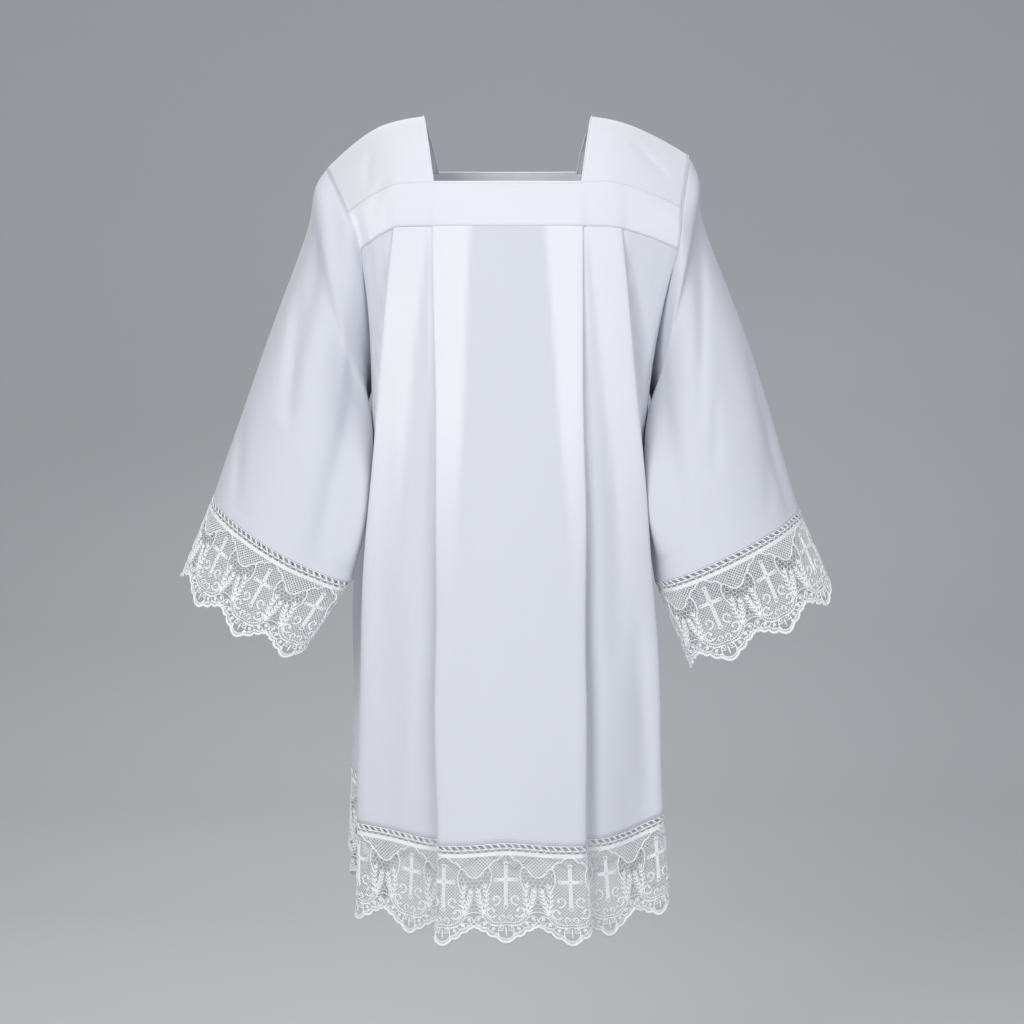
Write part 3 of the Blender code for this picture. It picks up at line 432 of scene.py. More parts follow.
def shoulder_form(side, across=64, columns=32):
    """Rows from the front yoke over the shoulder to the back one, each from the neck to the arm."""
    half = across // 2
    arm = np.vstack([armhole_steps(side, FRONT.yoke_top, 0, half),
                     armhole_steps(side, SPOTS, BACK.yoke_top, half)[1:]])
    neck = spread(NECK_EDGE, across)
    fronts, backs = (
        np.array([yoke_top(x, side, face) for x in stations(side, face.yoke_top, 0, columns)])
        for face in FACES
    )
    c = np.linspace(0, 1, columns + 1)[:, None]
    rows = []
    for i in range(across + 1):
        r = i / across
        corners = (1 - c) * ((1 - r) * neck[0] + r * neck[-1]) + c * ((1 - r) * arm[0] + r * arm[-1])
        row = (1 - c) * neck[i] + c * arm[i] + (1 - r) * fronts + r * backs - corners
        row[:, 2] += SHOULDER_CROWN[side] * np.sin(np.pi * c[:, 0]) * math.sin(math.pi * r)
        rows.append(row)
    return signed(np.array(rows), side)


def folded(folds, corners, gapes, eases, inward):
    """A chain of points from the first corner on, through every fold's outer corner and, where the
    fold gapes, round it."""
    chain = [corners[0]]
    ways = [(corners[0], corners[0])]
    ways += [(corner, corner + inward * gape) for corner, gape in zip(corners[1:], gapes)]
    for i, fold in enumerate(folds, 1):
        corner, turned = ways[i]
        gape, ease = gapes[i - 1], eases[i - 1]
        flat_end = corner + unit(ways[i - 1][1] - corner) * ease if gape else corner
        chain.extend(chain[-1] + (flat_end - chain[-1]) * np.arange(1, fold.flats + 1)[:, None] / fold.flats)
        if gape:
            chain.append((corner + turned) / 2)
            chain.append(turned + unit(ways[i + 1][0] - turned) * ease)
    return np.array(chain)


def rounded(halves, rounds=2):
    """The left and the right half of a section, each from the centre out, as one chain from left to
    right, with each stretch split in two and its corners rounded, `rounds` times over."""
    left, right = halves
    chain = np.vstack([mirrored(left[:0:-1]), right])
    for _ in range(rounds):
        finer = np.empty((2 * len(chain) - 1, chain.shape[1]))
        finer[1::2] = (chain[:-1] + chain[1:]) / 2
        finer[0], finer[-1] = chain[0], chain[-1]
        finer[2:-1:2] = (chain[:-2] + 6 * chain[1:-1] + chain[2:]) / 8
        chain = finer
    return chain


def section_at_yoke(face):
    """A skirt's upper edge: along the yoke's foot, and down both armholes."""
    halves, arms = [], []
    for side in SIDES:
        folds = PLEATS[face.name][side]
        end = armhole(side, face.yoke_foot)
        corners = [np.zeros(2)] + [np.array((fold.top_x, fold.layer * LAYER)) for fold in folds[:-1]]
        corners.append(np.array((end[0], 4 * LAYER)))
        gapes = [LAYER if fold.gape_mid else 0 for fold in folds]
        halves.append(folded(folds, corners, gapes, [LAYER / 2] * len(folds), np.array((0, 1))))
        arms.append(signed(armhole_steps(side, face.yoke_foot, SPOTS // 2, ARM_STEPS)[1:], side))
    chain = []
    for x, depth in rounded(halves):
        side = "left" if x < 0 else "right"
        chain.append((x, seam_y(abs(x), depth, side, face), yoke_foot(abs(x), side, face)[2]))
    return np.vstack([arms[0][::-1], chain, arms[1]])


def section_below(face, level):
    """A skirt's section halfway down ("mid") or at the hem."""
    pleats = PLEATS[face.name]
    edge_y = sum(getattr(pleats[side][0], level + "_y") for side in SIDES) / 2
    halves, arms = [], []
    for side in SIDES:
        folds = pleats[side]
        spots = [np.array((getattr(row, level + "_x"), getattr(row, level + "_y")))
                 for row in (*folds, SIDE_SEAM[side])]
        corners = [np.array((0.0, edge_y + face.sign * PANEL_BOW))] + spots[:-1]
        gapes = [getattr(fold, "gape_" + level) for fold in folds]
        eases = [getattr(fold, "ease_" + level) for fold in folds]
        halves.append(folded(folds, corners, gapes, eases, np.array((0, -face.sign))))
        t = np.arange(1, ARM_STEPS + 1) / ARM_STEPS
        arm, end = spots[-2:]
        wave = arm + (end - arm) * t[:, None]
        wave[:, 0] -= SIDE_WAVE[level] * np.sin(2 * np.pi * t) * np.sin(np.pi * t)
        arms.append(mirrored(wave) if side == "left" else wave)
    return np.vstack([arms[0][::-1], rounded(halves), arms[1]])


def hem_heights(section, face):
    """The height of the cloth's foot at each point of the hem's section."""
    along = lengths_along(section)
    centre = along[np.argmin(np.abs(section[:, 0]))]
    heights = []
    for at in along:
        side = "left" if at < centre else "right"
        share = (centre - at) / centre if at < centre else (at - centre) / (along[-1] - centre)
        rises = HEM_RISE[face.name][side]
        heights.append(HEM_Z + through(rises, share * (len(rises) - 1)))
    return np.array(heights)


def skirt_form(face, downs):
    """A skirt as rows down from the yoke, each from left to right. A row past 1 is where it would
    go on below its foot, in metres."""
    top = section_at_yoke(face)
    mid, hem = section_below(face, "mid"), section_below(face, "hem")
    hem = np.column_stack([hem, hem_heights(hem, face)])
    mid = np.column_stack([mid, (top[:, 2] + hem[:, 2]) / 2])
    fall = unit(3 * hem - 4 * mid + top)
    return np.array([by_middle(top, mid, hem, min(v, 1.0)) + fall * max(v - 1, 0.0) for v in downs])


def ring_points(ring, turns):
    """A sleeve's ring, in +X. A turn of 0 is its outer side and 0.25 its front."""
    outer = np.array((ring.outer_x, ring.outer_y, ring.outer_z))
    inner = np.array((ring.inner_x, ring.inner_y, ring.inner_z))
    front = np.array((0.0, -ring.half_depth, -ring.front_drop))
    angle = 2 * np.pi * turns[:, None]
    return (outer + inner) / 2 + (outer - inner) / 2 * np.cos(angle) + front * np.sin(angle)


def pressed_in(troughs, turns, at):
    """How far troughs press a sleeve in at turns round it and a share of its length."""
    depth = np.zeros(len(turns))
    for trough in troughs:
        t = (at - trough.start) / (trough.end - trough.start)
        if 0 < t < 1:
            away = (turns - trough.angle - trough.drift * t + 0.5) % 1 - 0.5
            depth += trough.depth * math.sin(math.pi * t) ** 0.7 * np.exp(-((away / trough.width) ** 2) * 2)
    return depth


def sleeve_form(side, ats, round_steps=160):
    """A sleeve, in +X, as rows at shares of its length, each once round it and closed."""
    turns = np.arange(round_steps) / round_steps
    rings = SLEEVE_RINGS[side]
    chain = [np.array([armhole(side, turn * SPOTS) for turn in turns])]
    chain += [ring_points(below, turns) for below in rings]
    stops = [0.0] + [below.at for below in rings]
    rows = []
    for at in ats:
        i = max(k for k in range(len(stops) - 1) if stops[k] <= at + 1e-9)
        row = through(chain, i + (at - stops[i]) / (stops[i + 1] - stops[i]))
        inward = unit(row[:: round_steps // 4].mean(axis=0) - row)
        row = row + inward * pressed_in(SLEEVE_TROUGHS[side], turns, at)[:, None]
        row[:, :2] -= pressed_in(SLEEVE_FULLNESS[side], turns, at)[:, None] * FULLNESS_WAY
        rows.append(np.vstack([row, row[:1]]))
    return np.array(rows)


def cuff_form(side):
    """The sleeve's foot and, for each of its points, the way in which the lace falls, in +X."""
    foot = sleeve_form(side, (1.0,))[0]
    share = (1 - np.cos(2 * np.pi * np.linspace(0, 1, len(foot))))[:, None] / 2
    outer, inner = (np.array(fall) for fall in CUFF_FALL[side])
    return foot, unit(outer * (1 - share) + inner * share)


def crease_depth(creases, points):
    """How far creases press points in, by how near each point is to their paths in X and Z."""
    flat = points[:, (0, 2)]
    depth = np.zeros(len(flat))
    for crease in creases:
        path = spread(crease.path, (len(crease.path) - 1) * 6)
        nearest, at = np.full(len(flat), np.inf), np.zeros(len(flat))
        for i, (a, b) in enumerate(zip(path[:-1], path[1:])):
            t = np.clip((flat - a) @ (b - a) / np.dot(b - a, b - a), 0, 1)
            away = np.linalg.norm(flat - a - t[:, None] * (b - a), axis=1)
            at = np.where(away < nearest, (i + t) / (len(path) - 1), at)
            nearest = np.minimum(nearest, away)
        ends = np.sin(np.pi * np.clip(at, 0.02, 0.98)) ** 0.6
        depth += crease.depth * ends * np.exp(-((nearest / crease.width) ** 2))
    return depth


def waves(rows, x, z, way=1):
    return sum(height * np.sin(across * x + down * z + way * phase) for height, across, down, phase in rows)


def draped(points):
    """Points of cloth and lace, moved by the creases and by a slight unevenness.

    Every layer of a pleat lies at the same X and Z, so all of them move together."""
    points = np.array(points, float)
    shape = points.shape
    points = points.reshape(-1, 3)
    x, z = points[:, 0].copy(), points[:, 2].copy()
    low = np.clip((-z - UNEVEN_FROM[0]) / UNEVEN_FROM[1], 0, 1)
    points[:, 0] += waves(SWAY, x, z) * low
    for face, creases in ((FRONT, FRONT_CREASES), (BACK, BACK_CREASES)):
        share = eased((face.sign * points[:, 1] - FACE_BLEND[0]) / FACE_BLEND[1])
        uneven = waves(UNEVEN, x, z, face.sign) * low
        points[:, 1] -= face.sign * share * (crease_depth(creases, points) + uneven)
    return points.reshape(shape)


# ---- the lace's pattern ----------------------------------------------------------------------
# One repeat lies flat in millimetres: u to the right from the middle of its cross, d down from the
# cloth. It is the usual church lace: a Latin cross on lattice in a lobed medallion, laurel sprays
# and scrolls on both sides, a honeycomb net between medallions and a scalloped edge. Rows that end
# in two more numbers give a line's width and how far it is lifted off the net.
REPEAT = 75.0
HALF = REPEAT / 2
HEADER_HOLES = 9
HEADER_LINES = ((0.9, 1.5, 0.2), (6.2, 1.5, 0.2))  # each by its d
TAPE = (9.8, 15.0)  # the solid woven bar, from and to
TAPE_ROWS = 4
TAPE_THREAD = 1.75
# A thread of the slanted row and its widths, and one of the half rounds.
SLANT = ((1.2, 1.2), (3.6, 3.5), (6.4, 6.0))
SLANT_WIDTHS = (0.9, 1.5, 0.7)
ARCH = ((0.0, 9.9), (0.2, 7.4), (0.5, 6.8), (0.8, 7.4), (1.0, 9.9))  # u as shares of a hole's pitch
LATTICE_PITCH = 3.95  # along u, from one diamond to the next
LATTICE_THREAD = 0.7
NET_PITCH = REPEAT / 18
NET_THREAD = 1.0
HONEYCOMB_PITCH = REPEAT / 14
HONEYCOMB_THREAD = 0.75
CROSSING = 0.12  # how far crossing threads lie over and under the net

# The cross: three rows of satin stitch side by side, its uprights along d and its arms along u, and
# its eyelets by d, radius, width and steps.
CROSS_WIDTH = 2.0
CROSS_LIFT = 0.5
UPRIGHTS = ((27.4, 41.2), (45.2, 60.0, 72.4))
UPRIGHT_ROWS = (-1.6, 0.0, 1.6)
ARM = (2.0, 9.4)
ARM_ROWS = (41.9, 43.4, 44.9)
ARM_EYELET = (11.6, 1.9, 1.7)  # its u, radius and width
CROSS_EYELETS = ((24.9, 2.3, 2.0, 8), (43.2, 2.0, 1.8, 10), (75.2, 2.6, 2.1, 10))

MEDALLION_TOP = (
    (0.0, 14.0), (5.6, 15.2), (10.0, 19.4), (10.9, 20.4), (14.6, 20.6), (18.4, 23.8), (20.3, 28.4),
)
MEDALLION_SIDE = ((20.3, 28.4), (17.8, 33.0), (17.0, 39.0), (17.8, 45.5), (20.2, 51.0), (23.0, 57.0))
MEDALLION_FOOT = (
    (23.0, 57.0), (24.6, 66.0), (24.8, 76.0), (23.4, 84.0), (17.5, 91.0), (8.0, 94.6), (0.0, 94.0),
)
LADDER_FOOT = ((27.4, 78.5), (26.2, 86.6), (19.0, 94.6), (8.6, 97.6), (0.0, 97.0))
TULIP = ((20.3, 28.4), (23.6, 28.6), (27.0, 32.0), (29.8, 36.4), (33.4, 38.6), (37.5, 39.6))
OUTLINES = ((MEDALLION_TOP, 2.3, 0.35), (MEDALLION_SIDE, 2.1, 0.35), (TULIP, 2.2, 0.3))
SPRAYS = (
    ((25.2, 83.0), (24.6, 75.0), (23.4, 66.0), (23.2, 58.0), (24.6, 50.5)),
    ((26.2, 84.0), (28.2, 76.0), (30.2, 69.0), (32.0, 63.0), (33.0, 56.5)),
)
LEAF = (8.2, 3.0)  # a leaf's length and width at the stem's foot
LEAF_SHORTER = 2.0  # by how much the leaves grow shorter towards the stem's tip
LEAF_SPREAD = 0.7  # how far they turn away from the stem
TIP_LEAF = (6.0, 2.8)
LAST_LEAF = (12.0, 3.2)  # at the edge's tip
LEAF_STOPS = (0.0, 0.3, 0.65, 1.0)  # shares of a leaf's length, and its widths there
LEAF_SHAPE = (0.3, 1, 0.9, 0.1)
STEM_WIDTHS = (1.0, 0.6)
# The medallion's scrolls by centre, radii, angles, width and the ball's width.
SCROLLS = (
    ((11.8, 66.6), (7.0, 2.6), (-75, -345), 2.9, 2.2),
    ((16.2, 80.4), (7.6, 2.4), (-135, 175), 2.9, 2.1),
    ((4.2, 88.4), (3.9, 2.2), (-60, 190), 2.2, 1.6),
)
LADDER_LINE = (1.6, 0.3)
LADDER_RUNG = 1.1
BRANCHES = (
    (((27.0, 84.0), (31.6, 81.0), (37.5, 79.8)), 1.8, 0.2),
    (((26.6, 87.0), (31.0, 84.8), (35.4, 86.6), (37.5, 92.0)), 1.8, 0.2),
    (((17.0, 96.0), (22.0, 93.0), (28.2, 92.6), (32.2, 96.4)), 1.7, 0.2),
    (((6.0, 97.4), (11.0, 98.0), (17.4, 97.0), (22.0, 101.0)), 1.7, 0.2),
)
EDGE_SCROLLS = ((14.6, 102.2), (24.6, 95.8), (32.0, 89.6))
EDGE_SCROLL = ((3.0, 1.2), (-110, 100), 1.4, 2.8, 0.3, 7)
FAN_SIDE = (((5.6, 96.6), (8.6, 101.0), (9.0, 106.0), (7.6, 110.4)), 1.9, 0.3)
FAN_EYELET = (4.6, 99.6, 1.9, 1.7, 0.3, 8)
FAN_BAR = (((2.6, 103.4), (6.2, 103.8), (8.6, 103.0)), 2.0, 0.3)
# The scalloped edge: its border and the line inside it by inset, width and lift, then the bars.
EDGE_LINES = ((0.0, 4.6, 0.3), (4.2, 1.6, 0.15))
EDGE_BARS = (2.0, 3.9)  # the insets that they run between
EDGE_BAR = 1.2
# Its cusps, how far its lobes bulge, and the steps of a lobe's line and bars.
SIDE_LOBES = (((11.4, 110.4), (23.0, 102.8), (32.0, 99.0), (37.5, 95.2)), 0.20, 4, 6)
TIP_LOBE = (((-11.4, 110.4), (11.4, 110.4)), 0.33, 10, 15)


def smooth(points, per_span=4):
    """Points of a smooth line through a few."""
    return spread(points, (len(points) - 1) * per_span)


def plain(points, width, height=0.0, closed=False):
    points = np.asarray(points, float)
    return Stroke(points, np.full(len(points), width / 2), height, closed)


def curved(points, width, height):
    return plain(smooth(points, 2), width, height)


def eyelet(u, d, radius, width, height=0.3, steps=10):
    angle = np.arange(steps) * 2 * np.pi / steps
    around = np.column_stack([u + radius * np.cos(angle), d + radius * np.sin(angle)])
    return plain(around, width, height, True)


def leaf(foot, way, length, width, height=0.35):
    """A pointed leaf from its foot along a direction."""
    line = np.asarray(foot) + np.asarray(way) * length * np.array(LEAF_STOPS)[:, None]
    return Stroke(line, width / 2 * np.array(LEAF_SHAPE), height)


def scroll(centre, radii, angles, width, ball, height=0.4, steps=12):
    """A C-scroll: a spiral between two radii and angles, counted up from +u, that ends in a ball."""
    t = np.linspace(0, 1, steps)
    r = radii[0] + (radii[1] - radii[0]) * t
    a = np.radians(angles[0] + (angles[1] - angles[0]) * t)
    points = np.column_stack([centre[0] + r * np.cos(a), centre[1] - r * np.sin(a)])
    spiral = Stroke(points, width / 2 * (1.15 - 0.45 * t), height)
    return [spiral, eyelet(*points[-1], ball / 2, ball, height + 0.1, 6)]


def lobes(cusps, bulge, inset, steps):
    """Arcs from cusp to cusp that bulge downwards by a share of their span."""
    line = []
    for (u0, d0), (u1, d1) in zip(cusps[:-1], cusps[1:]):
        span = math.hypot(u1 - u0, d1 - d0)
        out = np.array((-(d1 - d0), u1 - u0)) / span
        for i in range(steps):
            t = i / steps
            rise = bulge * span * 4 * t * (1 - t)
            line.append(np.array((u0 + (u1 - u0) * t, d0 + (d1 - d0) * t)) + out * (rise - inset))
    last = np.array(cusps[-1], float)
    return np.array(line + [last - (0, inset)])


def scalloped_edge(cusps, bulge, steps, bars):
    """The edge's border, a line inside it, and the small bars between them."""
    strokes = [plain(lobes(cusps, bulge, inset, steps), width, lift) for inset, width, lift in EDGE_LINES]
    middle, within = (lobes(cusps, bulge, inset, bars) for inset in EDGE_BARS)
    return strokes + [plain([a, b], EDGE_BAR) for a, b in zip(middle, within)]


def inside(points, region):
    """Which points lie inside a closed region."""
    x, y = points[:, 0, None], points[:, 1, None]
    x0, y0 = region[:, 0], region[:, 1]
    x1, y1 = np.roll(x0, -1), np.roll(y0, -1)
    crosses = (y0 > y) != (y1 > y)
    with np.errstate(divide="ignore", invalid="ignore"):
        at = x0 + (y - y0) * (x1 - x0) / (y1 - y0)
    return (crosses & (x < at)).sum(axis=1) % 2 == 1


def cut_to(start, end, region, finest=0.3):
    """The stretches of a straight thread that lie in a region."""
    start, end = np.asarray(start, float), np.asarray(end, float)
    count = max(2, int(np.linalg.norm(end - start) / finest) + 1)
    points = start + (end - start) * np.linspace(0, 1, count)[:, None]
    kept = np.concatenate([[False], inside(points, region), [False]])
    starts, ends = np.flatnonzero(~kept[:-1] & kept[1:]), np.flatnonzero(kept[:-1] & ~kept[1:])
    return [(points[a], points[b - 1]) for a, b in zip(starts, ends) if b - a > 2]


def straight(start, end, width, height, longest=7.5):
    count = max(1, math.ceil(np.linalg.norm(end - start) / longest))
    return plain(start + (end - start) * np.linspace(0, 1, count + 1)[:, None], width, height)


def diagonals(region, pitch, width):
    """A diamond net of crossing threads in a region."""
    low, high = region.min(axis=0), region.max(axis=0)
    tall = high[1] - low[1]
    strokes = []
    first = math.floor((low[0] - tall) / pitch)
    for i in range(first, math.ceil((high[0] + tall) / pitch) + 1):
        u = (i + 0.5) * pitch
        for way, height in ((1, -CROSSING), (-1, CROSSING)):
            for a, b in cut_to((u, low[1]), (u + way * tall, high[1]), region):
                strokes.append(straight(a, b, width, height))
    return strokes


def honeycomb(region, pitch, width):
    """A net of six-sided holes in a region."""
    low, high = region.min(axis=0), region.max(axis=0)
    side = pitch / math.sqrt(3)
    strokes = []
    for row in range(int((high[1] - low[1]) / (1.5 * side)) + 2):
        d = low[1] + row * 1.5 * side
        for column in range(math.floor(low[0] / pitch) - 1, math.ceil(high[0] / pitch) + 2):
            u = (column + 0.5 * (row % 2)) * pitch
            for foot in ((u - pitch / 2, d + side / 2), (u + pitch / 2, d + side / 2), (u, d - side)):
                strokes += [plain([a, b], width) for a, b in cut_to((u, d), foot, region)]
    return strokes


def header():
    """The slanted row, the row of half rounds, and the woven bar."""
    pitch = REPEAT / HEADER_HOLES
    along = np.linspace(-HALF, HALF, HEADER_HOLES + 1)
    strokes = [plain([(u, d) for u in along], width, lift) for d, width, lift in HEADER_LINES]
    for k in range(TAPE_ROWS):
        d = TAPE[0] + 0.75 + k * (TAPE[1] - TAPE[0] - 1.5) / (TAPE_ROWS - 1)
        strokes.append(plain([(u, d) for u in along], TAPE_THREAD))
    for u in along[:-1]:
        slant = np.array([(u + right, d) for right, d in SLANT])
        strokes.append(Stroke(slant, np.array(SLANT_WIDTHS), 0.3))
        strokes.append(plain([(u + share * pitch, d) for share, d in ARCH], 1.0, 0.1))
    return strokes


def cross():
    """The Latin cross, with an eyelet at each end and where its bars meet."""
    lines = [[(u, d) for d in upright] for upright in UPRIGHTS for u in UPRIGHT_ROWS]
    strokes = [plain(line, CROSS_WIDTH, CROSS_LIFT) for line in lines]
    for way in (-1, 1):
        strokes += [plain([(way * u, d) for u in ARM], CROSS_WIDTH, CROSS_LIFT) for d in ARM_ROWS]
        u, radius, width = ARM_EYELET
        strokes.append(eyelet(way * u, ARM_ROWS[1], radius, width, CROSS_LIFT))
    for d, radius, width, steps in CROSS_EYELETS:
        strokes.append(eyelet(0, d, radius, width, CROSS_LIFT, steps))
    return strokes


def spray(stem):
    """A stem with pairs of laurel leaves along it and one at its tip."""
    line = smooth(stem, 3)
    strokes = [Stroke(line, np.linspace(*STEM_WIDTHS, len(line)), 0.3)]
    last = len(line) - 1
    for i in range(1, last + 1, 2):
        way = unit(line[min(i + 1, last)] - line[i - 1])
        across = np.array((-way[1], way[0]))
        for side in (-1, 1):
            turned = unit(way + side * LEAF_SPREAD * across)
            strokes.append(leaf(line[i], turned, LEAF[0] - LEAF_SHORTER * i / last, LEAF[1]))
    return strokes + [leaf(line[last], unit(line[last] - line[last - 2]), *TIP_LEAF)]


def right_half():
    """The strokes that have a twin on the left."""
    strokes = [curved(*row) for row in OUTLINES]
    for stem in SPRAYS:
        strokes += spray(stem)
    for row in SCROLLS:
        strokes += scroll(*row)
    # The ladder under the medallion, and the branches from it to the edge.
    inner, outer = smooth(MEDALLION_FOOT[2:]), smooth(LADDER_FOOT)
    strokes += [plain(inner, *LADDER_LINE), plain(outer, *LADDER_LINE)]
    strokes += [plain([a, b], LADDER_RUNG) for a, b in zip(inner[2:14], outer[2:14])]
    strokes += [curved(*row) for row in BRANCHES]
    for centre in EDGE_SCROLLS:
        strokes += scroll(centre, *EDGE_SCROLL)
    strokes += [curved(*FAN_SIDE), eyelet(*FAN_EYELET), plain(*FAN_BAR)]
    return strokes + scalloped_edge(*SIDE_LOBES)


def lace_strokes():
    """Every thread of one repeat."""
    strokes = header() + cross()
    for stroke in right_half():
        strokes += [stroke, stroke._replace(points=mirrored(stroke.points))]
    strokes += scalloped_edge(*TIP_LOBE)
    strokes.append(leaf((0, 99.0), (0, 1), *LAST_LEAF))
    top, side, foot = (smooth(line) for line in (MEDALLION_TOP, MEDALLION_SIDE, MEDALLION_FOOT))
    tulip = smooth(TULIP)
    right = np.vstack([top, side[1:], foot[1:]])
    strokes += diagonals(np.vstack([right, mirrored(right)[::-1]]), LATTICE_PITCH, LATTICE_THREAD)
    corner = np.vstack([[(HALF, TAPE[1]), (6.0, TAPE[1])], top[4:], tulip[1:]])
    comb = np.vstack([side[::-1], tulip[1:], [(HALF, 78.0), (30.0, 80.0), (25.0, 72.0), (23.4, 60.0)]])
    for turned in (np.asarray, mirrored):
        strokes += diagonals(turned(corner), NET_PITCH, NET_THREAD)
        strokes += honeycomb(turned(comb), HONEYCOMB_PITCH, HONEYCOMB_THREAD)
    return strokes


# ---- making meshes ---------------------------------------------------------------------------
def mesh_of(bm, name):
    mesh = bpy.data.meshes.new(name)
    bm.to_mesh(mesh)
    bm.free()
    return mesh


def finish_piece(name, mesh, finish, nodes=()):
    """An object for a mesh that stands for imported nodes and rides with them."""
    piece = bpy.data.objects.new(name, mesh)
    bpy.context.scene.collection.objects.link(piece)
    mesh.materials.append(material_of(finish))
    mesh.shade_smooth()
    if nodes:
        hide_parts(*nodes)
    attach(piece, "root")
    return piece


def make_cloth(name, node, form, outward, wall, layers=0.0):
    """A sheet of cloth: a flat grid that is moved on to rows of points and given its thickness.

    `outward` is a point's way out of the garment at the middle of the sheet, and `layers` says
    from 0 to 1 how many layers of cloth lie behind each other."""
    form = draped(form)
    rows, columns = form.shape[:2]
    layers = np.broadcast_to(layers, (rows, columns))
    bm = bmesh.new()
    weave = bm.loops.layers.uv.new("weave")
    layered = bm.verts.layers.float.new("layers")
    bmesh.ops.create_grid(bm, x_segments=columns - 1, y_segments=rows - 1, size=1)
    across, down = lengths_along(form[-1]), lengths_along(form[:, columns // 2])
    bm.verts.ensure_lookup_table()
    for i, vert in enumerate(bm.verts):
        at = divmod(i, columns)
        vert.co = form[at]
        vert[layered] = layers[at]
    for face in bm.faces:
        for loop in face.loops:
            row, column = divmod(loop.vert.index, columns)
            loop[weave].uv = (across[column], down[row])
    bmesh.ops.remove_doubles(bm, verts=bm.verts, dist=1e-6)
    bm.normal_update()
    bm.faces.ensure_lookup_table()
    if np.dot(bm.faces[len(bm.faces) // 2].normal, outward) < 0:
        bmesh.ops.reverse_faces(bm, faces=bm.faces)
    piece = finish_piece(name, mesh_of(bm, name), poly_cotton_poplin, [node])
    solid = piece.modifiers.new("thickness", "SOLIDIFY")
    solid.thickness = wall
    solid.offset = 0.0
    solid.use_quality_normals = True


FLAT_THREAD = ((-1.0, -0.35), (1.0, -0.35), (0.0, 0.65))
ROUND_CORD = tuple((math.cos(math.pi * i / 4), math.sin(math.pi * i / 4)) for i in range(8))


def threads(name, strokes, outline=FLAT_THREAD):
    """A mesh of threads, one round each stroke. A flat thread is three-sided and half as high as wide."""
    profile = bpy.data.curves.new("thread_profile", "CURVE")
    side = profile.splines.new("POLY")
    side.points.add(len(outline) - 1)
    for point, (x, y) in zip(side.points, outline):
        point.co = (x, y, 0, 1)
    side.use_cyclic_u = True
    profile_object = bpy.data.objects.new("thread_profile", profile)
    curve = bpy.data.curves.new(name, "CURVE")
    curve.dimensions = "3D"
    curve.twist_mode = "Z_UP"
    curve.bevel_mode = "OBJECT"
    curve.bevel_object = profile_object
    curve.use_fill_caps = True
    for stroke in strokes:
        spline = curve.splines.new("POLY")
        spline.points.add(len(stroke.points) - 1)
        for point, place, width in zip(spline.points, stroke.points, stroke.widths):
            point.co = (*place, 1)
            point.radius = width
        spline.use_cyclic_u = stroke.closed
    holder = bpy.data.objects.new(name, curve)
    for thing in (holder, profile_object):
        bpy.context.scene.collection.objects.link(thing)
    mesh = bpy.data.meshes.new_from_object(holder.evaluated_get(bpy.context.evaluated_depsgraph_get()))
    for thing in (holder, profile_object):
        bpy.data.objects.remove(thing)
    return mesh


def make_lace(name, nodes, chain, falls, centres, ease=None):
    """A strip of lace sewn to a chain of points that runs from left to right as seen from outside.

    The flat repeat is laid side by side in metres, cut off at the chain's ends, and bent on to the
    surface that hangs from the chain. `centres` are the places of the crosses along the chain, and
    `ease` says by how many metres the lace is pushed along at shares of the chain. A closed chain
    has no ease and isn't cut."""
    along = lengths_along(chain)
    length = along[-1]
    scale = np.array(((centres[1] - centres[0]) / REPEAT, -0.001))
    flat = []
    for stroke in lace_strokes():
        points = np.column_stack([stroke.points * scale, np.full(len(stroke.points), stroke.height / 1000)])
        flat.append(stroke._replace(points=points, widths=stroke.widths / 1000))
    repeat = threads(name + "_repeat", flat)
    bm = bmesh.new()
    for centre in centres:
        before = len(bm.verts)
        bm.from_mesh(repeat)
        bm.verts.ensure_lookup_table()
        bmesh.ops.translate(bm, vec=(centre, 0, 0), verts=bm.verts[before:])
    bpy.data.meshes.remove(repeat)
    if ease:
        shares, pushes = np.array(ease).T
        for vert in bm.verts:
            vert.co.x += np.interp(vert.co.x / length, shares, pushes)
        for end, way in ((0.0, -1), (length, 1)):
            cut = bmesh.ops.bisect_plane(bm, geom=bm.verts[:] + bm.edges[:] + bm.faces[:], dist=1e-7,
                                         plane_co=(end, 0, 0), plane_no=(way, 0, 0), clear_outer=True)
            edges = [part for part in cut["geom_cut"] if isinstance(part, bmesh.types.BMEdge)]
            bmesh.ops.edgenet_fill(bm, edges=edges)
    mesh = mesh_of(bm, name)
    points = np.empty(len(mesh.vertices) * 3)
    mesh.vertices.foreach_get("co", points)
    points = points.reshape(-1, 3)
    at = np.clip(points[:, 0], 0, length) if ease else points[:, 0] % length
    outward = unit(np.cross(unit(np.gradient(chain, along, axis=0)), -falls))
    top, fall, out = (between(at, along, rows) for rows in (chain, falls, outward))
    placed = top - fall * points[:, 1:2] + out * points[:, 2:]
    mesh.vertices.foreach_set("co", draped(placed).ravel())
    mesh.update()
    finish_piece(name, mesh, rayon_lace, nodes)


# A stitch's points along its length, and how far each is sunk, in threads.
STITCH_ALONG = np.array((-0.5, -0.3, 0.3, 0.5))
STITCH_SUNK = np.array((0.35, -0.15, -0.15, 0.35))


